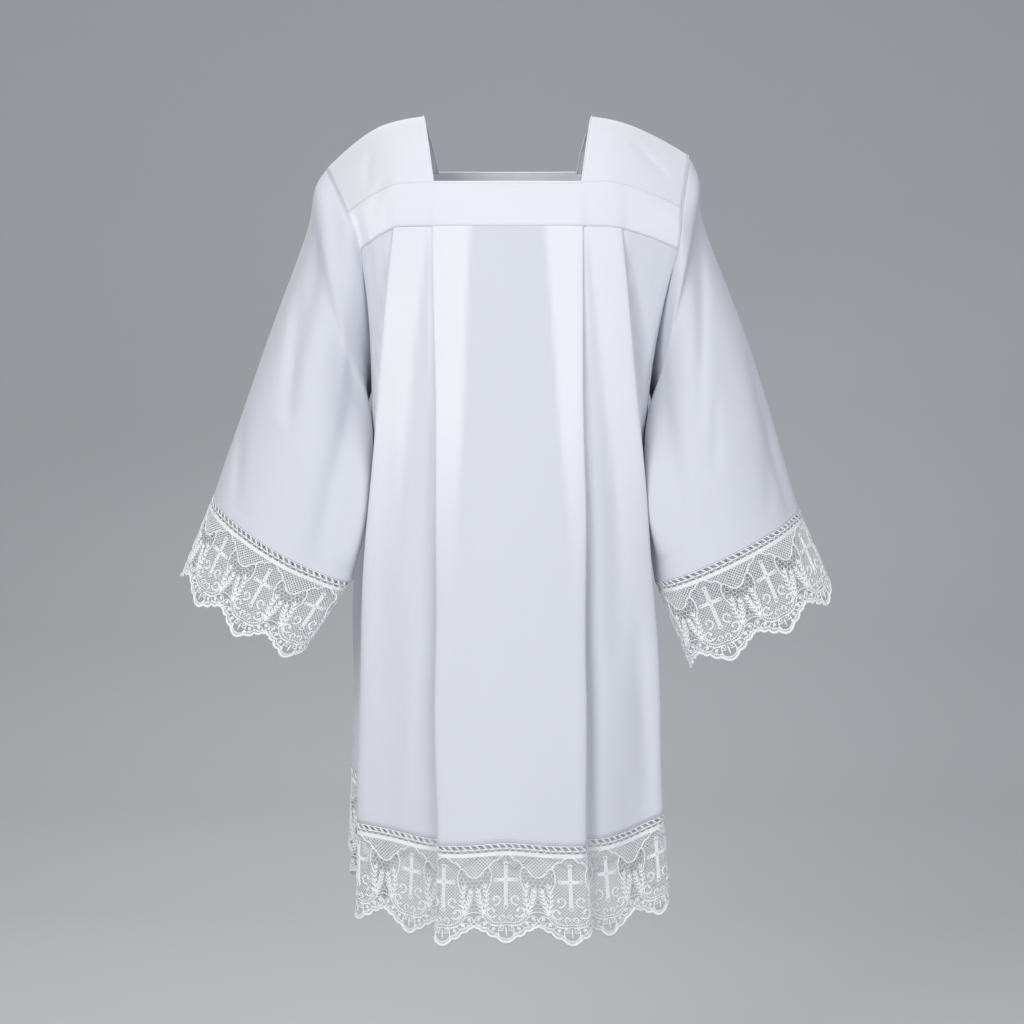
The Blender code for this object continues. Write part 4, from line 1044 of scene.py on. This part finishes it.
def stitches(form, row, outward, wall, settings):
    """A row of stitches along a row of a form, counted in rows, on the side towards `outward` of
    cloth of that thickness, each a thread that rises from the cloth and dips back in."""
    line = through(form, row)
    down = through(form, min(row + 0.3, len(form) - 1)) - through(form, max(row - 0.3, 0))
    normal = unit(np.cross(np.gradient(line, axis=0), down))
    if np.dot(normal[len(normal) // 2], outward) < 0:
        normal = -normal
    line = line + normal * (wall / 2)
    along = lengths_along(line)
    every = settings.stitch + settings.gap
    sunk = STITCH_SUNK[:, None] * -settings.thread
    strokes = []
    for k in range(int(along[-1] / every)):
        ats = (k + 0.5) * every + settings.stitch * STITCH_ALONG
        points = between(ats, along, line) + between(ats, along, normal) * sunk
        strokes.append(Stroke(points, np.full(len(points), settings.thread / 2)))
    return strokes


# ---- materials -------------------------------------------------------------------------------
THREAD_COLOURS = ("#f1f3f9", "#e6e9f2")
ROOM_COLOUR = "#e4e7ee"
ROOM_LIGHT = 0.37
PAPER_TINT = 0.97  # the paper's duller patches, as a share of its colour


def srgb(code):
    """A hex sRGB colour as linear RGB."""
    parts = [int(code[i : i + 2], 16) / 255 for i in (1, 3, 5)]
    return tuple(c / 12.92 if c <= 0.04045 else ((c + 0.055) / 1.055) ** 2.4 for c in parts)


def add_node(tree, kind, links=(), **settings):
    """A node with its settings, where a setting of a socket is given by the socket's name, and its
    links as (socket it comes from, name of its own socket)."""
    node = tree.nodes.new(kind)
    for name, value in settings.items():
        if hasattr(node, name):
            setattr(node, name, value)
        else:
            node.inputs[name.replace("_", " ")].default_value = value
    for source, name in links:
        tree.links.new(source, node.inputs[name])
    return node


def material_of(maker):
    """The material that a maker makes once, under its own name."""
    return bpy.data.materials.get(maker.__name__) or maker()


def fresh_material(name):
    material = bpy.data.materials.new(name)
    material.use_nodes = True
    tree = material.node_tree
    return material, tree, tree.nodes["Principled BSDF"]


def two_toned(name, colours, tone, relief=None):
    """A material whose colour wavers between two, and its shader. `tone` is the scale and detail of
    the wavering, and `relief` the scale, detail, strength and depth of a fine unevenness."""
    material, tree, shader = fresh_material(name)
    place = add_node(tree, "ShaderNodeTexCoord").outputs["Object"]
    if relief:
        scale, detail, strength, depth = relief
        fine = add_node(tree, "ShaderNodeTexNoise", [(place, "Vector")], Scale=scale, Detail=detail)
        bump = add_node(tree, "ShaderNodeBump", [(fine.outputs["Fac"], "Height")], Strength=strength,
                        Distance=depth)
        tree.links.new(bump.outputs["Normal"], shader.inputs["Normal"])
    waver = add_node(tree, "ShaderNodeTexNoise", [(place, "Vector")], Scale=tone[0], Detail=tone[1])
    mixed = add_node(tree, "ShaderNodeMix", [(waver.outputs["Fac"], "Factor")], data_type="RGBA")
    for socket, colour in zip(mixed.inputs[6:8], colours):
        socket.default_value = (*colour, 1)
    tree.links.new(mixed.outputs[2], shader.inputs["Base Color"])
    return material, shader


def poly_cotton_poplin():
    """Poly-cotton poplin, bleached and pressed: a fine plain weave, matt, with a faint sheen."""
    settings = bpy.context.scene.surplice_cloth
    material, tree, shader = fresh_material("poly_cotton_poplin")
    uv = add_node(tree, "ShaderNodeUVMap", uv_map="weave").outputs["UV"]
    place = add_node(tree, "ShaderNodeTexCoord").outputs["Object"]
    # Real threads lie 0.35 mm apart, too fine to show, so they are drawn settings.thread apart.
    warp, weft = (
        add_node(tree, "ShaderNodeTexWave", [(uv, "Vector")], bands_direction=axis,
                 Scale=1.0 / settings.thread / 2, Distortion=0.6, Detail=1.0)
        for axis in "XY"
    )
    weave = add_node(tree, "ShaderNodeMath", [(warp.outputs["Fac"], 0), (weft.outputs["Fac"], 1)],
                     operation="MULTIPLY")
    # Slubs: threads that are thicker for 10 to 30 mm.
    stretch = add_node(tree, "ShaderNodeMapping", [(uv, "Vector")], Scale=(900, 60, 1))
    slubs = add_node(tree, "ShaderNodeTexNoise", [(stretch.outputs["Vector"], "Vector")], Scale=1.0,
                     Detail=2.0)
    # Pressing leaves the cloth a little uneven every 20 to 40 mm.
    soft = add_node(tree, "ShaderNodeTexNoise", [(place, "Vector")], Scale=32.0, Detail=3.0, Roughness=0.55)
    height = add_node(tree, "ShaderNodeMath", [(weave.outputs[0], 0), (slubs.outputs["Fac"], 1)],
                      operation="ADD")
    fine = add_node(tree, "ShaderNodeBump", [(height.outputs[0], "Height")], Strength=0.10, Distance=0.0003)
    broad = add_node(tree, "ShaderNodeBump",
                     [(soft.outputs["Fac"], "Height"), (fine.outputs["Normal"], "Normal")],
                     Strength=0.18, Distance=0.004)
    tree.links.new(broad.outputs["Normal"], shader.inputs["Normal"])
    # One cloth lets some light through and looks cooler and darker than a pleat's three.
    layers = add_node(tree, "ShaderNodeAttribute", attribute_name="layers").outputs["Fac"]
    depth = add_node(tree, "ShaderNodeMix", [(layers, "Factor")], data_type="RGBA")
    depth.inputs[6].default_value = (*settings.colour, 1)
    depth.inputs[7].default_value = (*settings.layered_colour, 1)
    tint = add_node(tree, "ShaderNodeTexNoise", [(place, "Vector")], Scale=7.0, Detail=2.0)
    share = add_node(tree, "ShaderNodeMapRange", [(tint.outputs["Fac"], "Value")], To_Min=0.0, To_Max=0.35)
    colour = add_node(tree, "ShaderNodeMix", [(share.outputs[0], "Factor")], data_type="RGBA")
    tree.links.new(depth.outputs[2], colour.inputs[6])
    colour.inputs[7].default_value = (*settings.shaded_colour, 1)
    tree.links.new(colour.outputs[2], shader.inputs["Base Color"])
    shader.inputs["Roughness"].default_value = 0.82
    shader.inputs["Specular IOR Level"].default_value = 0.25
    shader.inputs["Sheen Weight"].default_value = 0.25
    shader.inputs["Sheen Roughness"].default_value = 0.5
    return material


def rayon_lace():
    """Embroidered rayon and cotton lace: soft bleached thread, matt, ribbed across each stroke."""
    settings = bpy.context.scene.surplice_lace
    # Satin stitches lie 0.4 mm apart.
    material, shader = two_toned("rayon_lace", (settings.colour, settings.shaded_colour), (140.0, 1.0),
                                 (1100.0, 2.0, 0.35, 0.0002))
    shader.inputs["Roughness"].default_value = 0.7
    shader.inputs["Sheen Weight"].default_value = 0.2
    return material


def polyester_thread():
    """Spun polyester sewing thread and turned cloth: white, matt, with a fine twist."""
    # The thread's two plies turn every 0.8 mm.
    material, shader = two_toned("polyester_thread", [srgb(code) for code in THREAD_COLOURS], (90.0, 1.0),
                                 (1250.0, 1.0, 0.2, 0.0002))
    shader.inputs["Roughness"].default_value = 0.75
    shader.inputs["Sheen Weight"].default_value = 0.2
    return material


def seamless_paper():
    """Matt seamless paper, pale grey."""
    colour = bpy.context.scene.surplice_stage.floor_colour
    material, shader = two_toned("seamless_paper", (colour, [PAPER_TINT * c for c in colour]), (3.0, 4.0))
    shader.inputs["Roughness"].default_value = 0.9
    return material


# ---- settings --------------------------------------------------------------------------------
class SurpliceCloth(bpy.types.PropertyGroup):
    """The body's cloth."""

    wall: FloatProperty(name="Thickness", description="One cloth's thickness", default=0.0007, unit="LENGTH")
    double_wall: FloatProperty(name="Yoke thickness", description="Two cloths and their turnings",
                               default=0.0014, unit="LENGTH")
    thread: FloatProperty(name="Thread spacing", description="From one drawn thread to the next",
                          default=0.0011, unit="LENGTH")
    colour: FloatVectorProperty(name="Cloth", description="One cloth's colour", size=3, subtype="COLOR",
                                default=srgb("#dcdee5"), min=0, max=1)
    layered_colour: FloatVectorProperty(name="Layered cloth", description="Where pleats lie three deep",
                                        size=3, subtype="COLOR", default=srgb("#f3f3f7"), min=0, max=1)
    shaded_colour: FloatVectorProperty(name="Uneven tint", description="The tint of duller patches",
                                       size=3, subtype="COLOR", default=srgb("#d6d8df"), min=0, max=1)
    rows: IntProperty(name="Rows", description="Rows of faces down a skirt", default=110, min=10)


class SurpliceLace(bpy.types.PropertyGroup):
    """The lace of hem and cuffs."""

    colour: FloatVectorProperty(name="Thread", description="The thread's colour", size=3, subtype="COLOR",
                                default=srgb("#ffffff"), min=0, max=1)
    shaded_colour: FloatVectorProperty(name="Thread tint", description="Its duller tint", size=3,
                                       subtype="COLOR", default=srgb("#f7f7f8"), min=0, max=1)


class SurpliceSewing(bpy.types.PropertyGroup):
    """Seams and stitching."""

    stitch: FloatProperty(name="Stitch", description="A stitch's length", default=0.0026, unit="LENGTH")
    gap: FloatProperty(name="Gap", description="From one stitch to the next", default=0.0012, unit="LENGTH")
    thread: FloatProperty(name="Thread", description="The sewing thread's width", default=0.0006,
                          unit="LENGTH")
    rolled_edge: FloatProperty(name="Rolled edge", description="The turned neck edge's width",
                               default=0.0036, unit="LENGTH")


class SurpliceStage(bpy.types.PropertyGroup):
    """The floor, the lights and the camera."""

    floor_colour: FloatVectorProperty(name="Floor", description="The paper's colour", size=3, subtype="COLOR",
                                      default=srgb("#cccdcf"), min=0, max=1)
    floor_z: FloatProperty(name="Floor height", description="Below the shoulders", default=-1.45,
                           unit="LENGTH")
    camera_distance: FloatProperty(name="Camera distance", description="In front of the garment",
                                   default=3.2, unit="LENGTH")
    camera_z: FloatProperty(name="Camera height", description="Below the shoulders", default=-0.402,
                            unit="LENGTH")


# ---- pieces ----------------------------------------------------------------------------------
UP = (0, 0, 1)


class SURPLICE_OT_hem_lace(bpy.types.Operator):
    """The lace of the front and the back hem"""

    bl_idname = "surplice.hem_lace"
    bl_label = "Hem lace"

    def execute(self, context):
        for face in FACES:
            foot, below = skirt_form(face, (1.0, 1.1))
            if face is BACK:
                foot, below = foot[::-1], below[::-1]
            columns, first = HEM_COLUMNS[face.name]
            wide = lengths_along(foot)[-1] / columns
            centres = [wide * (first + 7 * k) for k in range(-1, columns // 7 + 2)]
            make_lace(f"{face.name}_hem_lace", [f"lace_hem_{face.name}"], foot, unit(below - foot), centres,
                      HEM_EASE[face.name])
        return {"FINISHED"}


class SURPLICE_OT_cuff_lace(bpy.types.Operator):
    """The lace of both cuffs"""

    bl_idname = "surplice.cuff_lace"
    bl_label = "Cuff lace"

    def execute(self, context):
        for side, way in zip(SIDES, (1, -1)):
            foot, falls = (signed(rows, side)[::way] for rows in cuff_form(side))
            along = lengths_along(foot)
            middle = np.interp(CUFF_MIDDLE[side], np.linspace(0, 1, len(foot)), along[::way])
            wide = along[-1] / CUFF_REPEATS
            first = middle + wide / 2 * (1 - CUFF_FRONT_REPEATS[side] % 2)
            make_lace(f"{side}_cuff_lace", [f"lace_cuff_{side}_front", f"lace_cuff_{side}_back"], foot, falls,
                      [first + wide * k for k in range(CUFF_REPEATS)])
        return {"FINISHED"}


class SURPLICE_OT_yokes(bpy.types.Operator):
    """Two cloths thick bands under the neck, and the shoulder pieces between them"""

    bl_idname = "surplice.yokes"
    bl_label = "Yokes and shoulders"

    def execute(self, context):
        wall = context.scene.surplice_cloth.double_wall
        for face in FACES:
            make_cloth(f"{face.name}_yoke", f"yoke_{face.name}", yoke_form(face), (0, face.sign, 0), wall,
                       YOKE_LAYERS)
        for side in SIDES:
            make_cloth(f"{side}_shoulder", f"shoulder_{side}", shoulder_form(side), UP, wall,
                       SHOULDER_LAYERS)
        return {"FINISHED"}


def pleat_layers(face, x, downs):
    """How far a skirt's outer cloth has two more layers behind it: between a pleat's hidden fold and
    its outer one, down to where the pleat opens."""
    t = downs[:, None]
    shares = np.zeros(x.shape)
    for side, sign in zip(SIDES, (-1, 1)):
        folds = {fold.name: fold for fold in PLEATS[face.name][side]}
        for tuck, edge, depth in LAYERED_PLEATS:
            past_tuck, past_edge = (
                sign * x - by_middle(fold.top_x, fold.mid_x, fold.hem_x, t)
                for fold in (folds[tuck], folds[edge])
            )
            under = eased((past_tuck + TUCK_FADE[0]) / TUCK_FADE[1])
            beyond = eased((past_edge - EDGE_FADE[0]) / EDGE_FADE[1])
            shares = np.maximum(shares, depth * under * (1 - beyond))
    return shares * (1 - eased((t - PLEAT_OPENS[0]) / PLEAT_OPENS[1]))


class SURPLICE_OT_skirts(bpy.types.Operator):
    """The pleated front and back"""

    bl_idname = "surplice.skirts"
    bl_label = "Skirts"

    def execute(self, context):
        settings = context.scene.surplice_cloth
        near = (0.0, 0.003, 0.006, 0.0095, 0.0135, 0.018, 0.0235)
        below = 0.030 + 0.970 * np.linspace(0, 1, settings.rows + 1 - len(near)) ** 1.1
        downs = np.concatenate([near, below])
        for face in FACES:
            form = skirt_form(face, downs)
            make_cloth(f"{face.name}_skirt", f"skirt_{face.name}", form, (0, face.sign, 0), settings.wall,
                       pleat_layers(face, form[:, :, 0], downs))
        return {"FINISHED"}


def bell(values, centre, width):
    return np.exp(-(((values - centre) / width) ** 2))


class SURPLICE_OT_sleeves(bpy.types.Operator):
    """The wide hanging sleeves, with a ridge along the armhole seam"""

    bl_idname = "surplice.sleeves"
    bl_label = "Sleeves"

    def execute(self, context):
        near = (0.0, 0.003, 0.006, 0.010, 0.015, 0.022, 0.032, 0.045, 0.06)
        ats = np.concatenate([near, np.linspace(0.075, 1.0, 92)])
        roll = (bell(ats, *ROLL_CREST) - bell(ats, *ROLL_HOLLOW))[:, None, None]
        for side in SIDES:
            form = sleeve_form(side, ats)
            form += unit(form - form[:, :-1].mean(axis=1, keepdims=True)) * SEAM_ROLL[side] * roll
            make_cloth(f"{side}_sleeve", f"sleeve_{side}", signed(form, side), signed((-1, 0, -0.2), side),
                       context.scene.surplice_cloth.wall)
        return {"FINISHED"}


NECK_EDGE_FLATTENED = 0.62  # the turned edge's thickness as a share of its width


def neck_loop(steps=40):
    """The neck opening, once round from the left of the front."""
    widths = np.linspace(-NECK_HALF, NECK_HALF, steps + 1)
    front, back = (
        np.array([signed(yoke_top(abs(x), SIDES[int(x > 0)], face), SIDES[int(x > 0)]) for x in widths])
        for face in FACES
    )
    side = spread(NECK_EDGE, steps)
    return np.vstack([front[:-1], side[:-1], back[:0:-1], signed(side, "left")[:0:-1]])


class SURPLICE_OT_neck_edge(bpy.types.Operator):
    """The narrow turned edge round the neck opening"""

    bl_idname = "surplice.neck_edge"
    bl_label = "Neck edge"

    def execute(self, context):
        loop = draped(neck_loop())
        radius = context.scene.surplice_sewing.rolled_edge / 2
        mesh = threads("neck_edge", [Stroke(loop, np.full(len(loop), radius), closed=True)],
                       [(NECK_EDGE_FLATTENED * x, y) for x, y in ROUND_CORD])
        bm = bmesh.new()
        bm.from_mesh(mesh)
        bmesh.ops.recalc_face_normals(bm, faces=bm.faces)
        bm.to_mesh(mesh)
        bm.free()
        finish_piece("neck_edge", mesh, polyester_thread)
        return {"FINISHED"}


# Where the stitches run: at shares of a yoke's height, so many columns or rows within a seam, and at
# the middle one of three shares of a skirt's or a sleeve's length.
YOKE_STITCHES = (0.10, 0.955)
ARM_STITCHES = 1.2
NECK_STITCHES = 1.4
SHOULDER_STITCHES = 0.9
HEM_STITCHES = (0.985, 0.993, 1.0)
CUFF_STITCHES = (0.988, 0.994, 1.0)


class SURPLICE_OT_stitching(bpy.types.Operator):
    """Topstitching along the yokes, the shoulders, the armholes, the sleeves' feet and the hems"""

    bl_idname = "surplice.stitching"
    bl_label = "Stitching"

    def execute(self, context):
        settings = context.scene.surplice_sewing
        cloth = context.scene.surplice_cloth
        strokes = []
        for face in FACES:
            outward = (0, face.sign, 0)
            form = draped(yoke_form(face))
            upright = np.swapaxes(form, 0, 1)
            seams = [(form, (len(form) - 1) * share) for share in YOKE_STITCHES]
            seams += [(upright, ARM_STITCHES), (upright, len(upright) - 1 - ARM_STITCHES)]
            for grid, row in seams:
                strokes += stitches(grid, row, outward, cloth.double_wall, settings)
            hem = draped(skirt_form(face, HEM_STITCHES))
            strokes += stitches(hem, 1, outward, cloth.wall, settings)
        for side in SIDES:
            form = draped(shoulder_form(side))
            upright = np.swapaxes(form, 0, 1)
            seams = [(form, SHOULDER_STITCHES), (form, len(form) - 1 - SHOULDER_STITCHES)]
            seams += [(upright, NECK_STITCHES), (upright, len(upright) - 1 - ARM_STITCHES)]
            for grid, row in seams:
                strokes += stitches(grid, row, UP, cloth.double_wall, settings)
            # The sleeve's foot, once round from its front.
            foot = draped(signed(sleeve_form(side, CUFF_STITCHES), side))
            foot = np.roll(foot[:, :-1], -(foot.shape[1] // 4), axis=1)
            foot = np.concatenate([foot, foot[:, :1]], axis=1)
            outward = foot[1, len(foot[1]) // 2] - foot[1, :-1].mean(axis=0)
            strokes += stitches(foot, 1, outward, cloth.wall, settings)
        finish_piece("stitching", threads("stitching", strokes), polyester_thread)
        return {"FINISHED"}


# The paper's section in Y and in Z above the floor, its left edge in X, and its width.
PAPER_PATH = ((-6.0, 0.0), (2.2, 0.0), (2.9, 0.12), (3.4, 0.5), (3.6, 1.1), (3.6, 6.0))
PAPER_LEFT = -7
PAPER_WIDTH = 14
LAMPS = (
    Lamp("key", (-1.3, -3.0, 0.8), (0, 0, -0.45), 1.6, 54, "#ffffff"),
    Lamp("fill", (1.3, -3.0, 0.0), (0, 0, -0.5), 2.0, 31, "#f6f8ff"),
    Lamp("top", (0.2, 0.4, 2.1), (0, 0, -0.4), 1.8, 22, "#ffffff"),
    Lamp("back", (-0.5, 2.5, 1.4), (0, 0, -0.2), 1.4, 34, "#ffffff"),
)
# The camera's sensor in millimetres, and in pixels the frame, the focal length and the centre.
SENSOR = 36.0
FRAME = 1024
FOCAL = 2490
CENTRE = (507.5, 430)


class SURPLICE_OT_stage(bpy.types.Operator):
    """The paper floor and backdrop, soft lights and the camera"""

    bl_idname = "surplice.stage"
    bl_label = "Stage"

    def execute(self, context):
        scene = context.scene
        settings = scene.surplice_stage
        # A strip that runs along the floor and bends up behind.
        bm = bmesh.new()
        line = [bm.verts.new((PAPER_LEFT, y, settings.floor_z + z)) for y, z in PAPER_PATH]
        edges = [bm.edges.new(pair) for pair in zip(line[:-1], line[1:])]
        grown = bmesh.ops.extrude_edge_only(bm, edges=edges)
        bmesh.ops.translate(bm, vec=(PAPER_WIDTH, 0, 0),
                            verts=[part for part in grown["geom"] if isinstance(part, bmesh.types.BMVert)])
        bmesh.ops.recalc_face_normals(bm, faces=bm.faces)
        mesh = mesh_of(bm, "paper_floor")
        mesh.shade_smooth()
        mesh.materials.append(material_of(seamless_paper))
        floor = bpy.data.objects.new("paper_floor", mesh)
        scene.collection.objects.link(floor)

        world = bpy.data.worlds.new("soft_room")
        world.use_nodes = True
        room = world.node_tree.nodes["Background"]
        room.inputs["Color"].default_value = (*srgb(ROOM_COLOUR), 1)
        room.inputs["Strength"].default_value = ROOM_LIGHT
        scene.world = world
        for lamp in LAMPS:
            light = bpy.data.lights.new(lamp.name, "AREA")
            light.size = lamp.size
            light.energy = lamp.power
            light.color = srgb(lamp.colour)
            holder = bpy.data.objects.new(lamp.name, light)
            holder.location = lamp.place
            way = Vector(lamp.aim) - Vector(lamp.place)
            holder.rotation_euler = way.to_track_quat("-Z", "Y").to_euler()
            scene.collection.objects.link(holder)

        camera = bpy.data.cameras.new("camera")
        camera.sensor_width = SENSOR
        camera.lens = SENSOR * FOCAL / FRAME
        camera.shift_x = (FRAME / 2 - CENTRE[0]) / FRAME
        camera.shift_y = -(FRAME / 2 - CENTRE[1]) / FRAME
        holder = bpy.data.objects.new("camera", camera)
        holder.location = (0, -settings.camera_distance, settings.camera_z)
        holder.rotation_euler = (math.pi / 2, 0, 0)
        scene.collection.objects.link(holder)
        scene.camera = holder
        # White cloth keeps its white.
        scene.view_settings.view_transform = "Standard"
        return {"FINISHED"}


class SURPLICE_PT_panel(bpy.types.Panel):
    """The surplice's pieces and their sizes"""

    bl_idname = "SURPLICE_PT_panel"
    bl_label = "Surplice"
    bl_space_type = "VIEW_3D"
    bl_region_type = "UI"
    bl_category = "Surplice"

    def draw(self, context):
        for operator in OPERATORS:
            self.layout.operator(operator.bl_idname)
        for name in GROUPS:
            box = self.layout.box()
            settings = getattr(context.scene, name)
            for prop in settings.bl_rna.properties:
                if prop.identifier not in ("name", "rna_type"):
                    box.prop(settings, prop.identifier)


GROUPS = {
    "surplice_cloth": SurpliceCloth,
    "surplice_lace": SurpliceLace,
    "surplice_sewing": SurpliceSewing,
    "surplice_stage": SurpliceStage,
}
OPERATORS = (
    SURPLICE_OT_hem_lace,
    SURPLICE_OT_cuff_lace,
    SURPLICE_OT_yokes,
    SURPLICE_OT_skirts,
    SURPLICE_OT_sleeves,
    SURPLICE_OT_neck_edge,
    SURPLICE_OT_stitching,
    SURPLICE_OT_stage,
)
CLASSES = (*GROUPS.values(), *OPERATORS, SURPLICE_PT_panel)


def register():
    for kind in CLASSES:
        bpy.utils.register_class(kind)
    for name, group in GROUPS.items():
        setattr(bpy.types.Scene, name, PointerProperty(type=group))


def unregister():
    for name in GROUPS:
        delattr(bpy.types.Scene, name)
    for kind in reversed(CLASSES):
        bpy.utils.unregister_class(kind)


def main():
    register()
    bpy.ops.surplice.hem_lace()
    bpy.ops.surplice.cuff_lace()
    bpy.ops.surplice.yokes()
    bpy.ops.surplice.skirts()
    bpy.ops.surplice.sleeves()
    bpy.ops.surplice.neck_edge()
    bpy.ops.surplice.stitching()
    bpy.ops.surplice.stage()


if __name__ == "__main__":
    main()
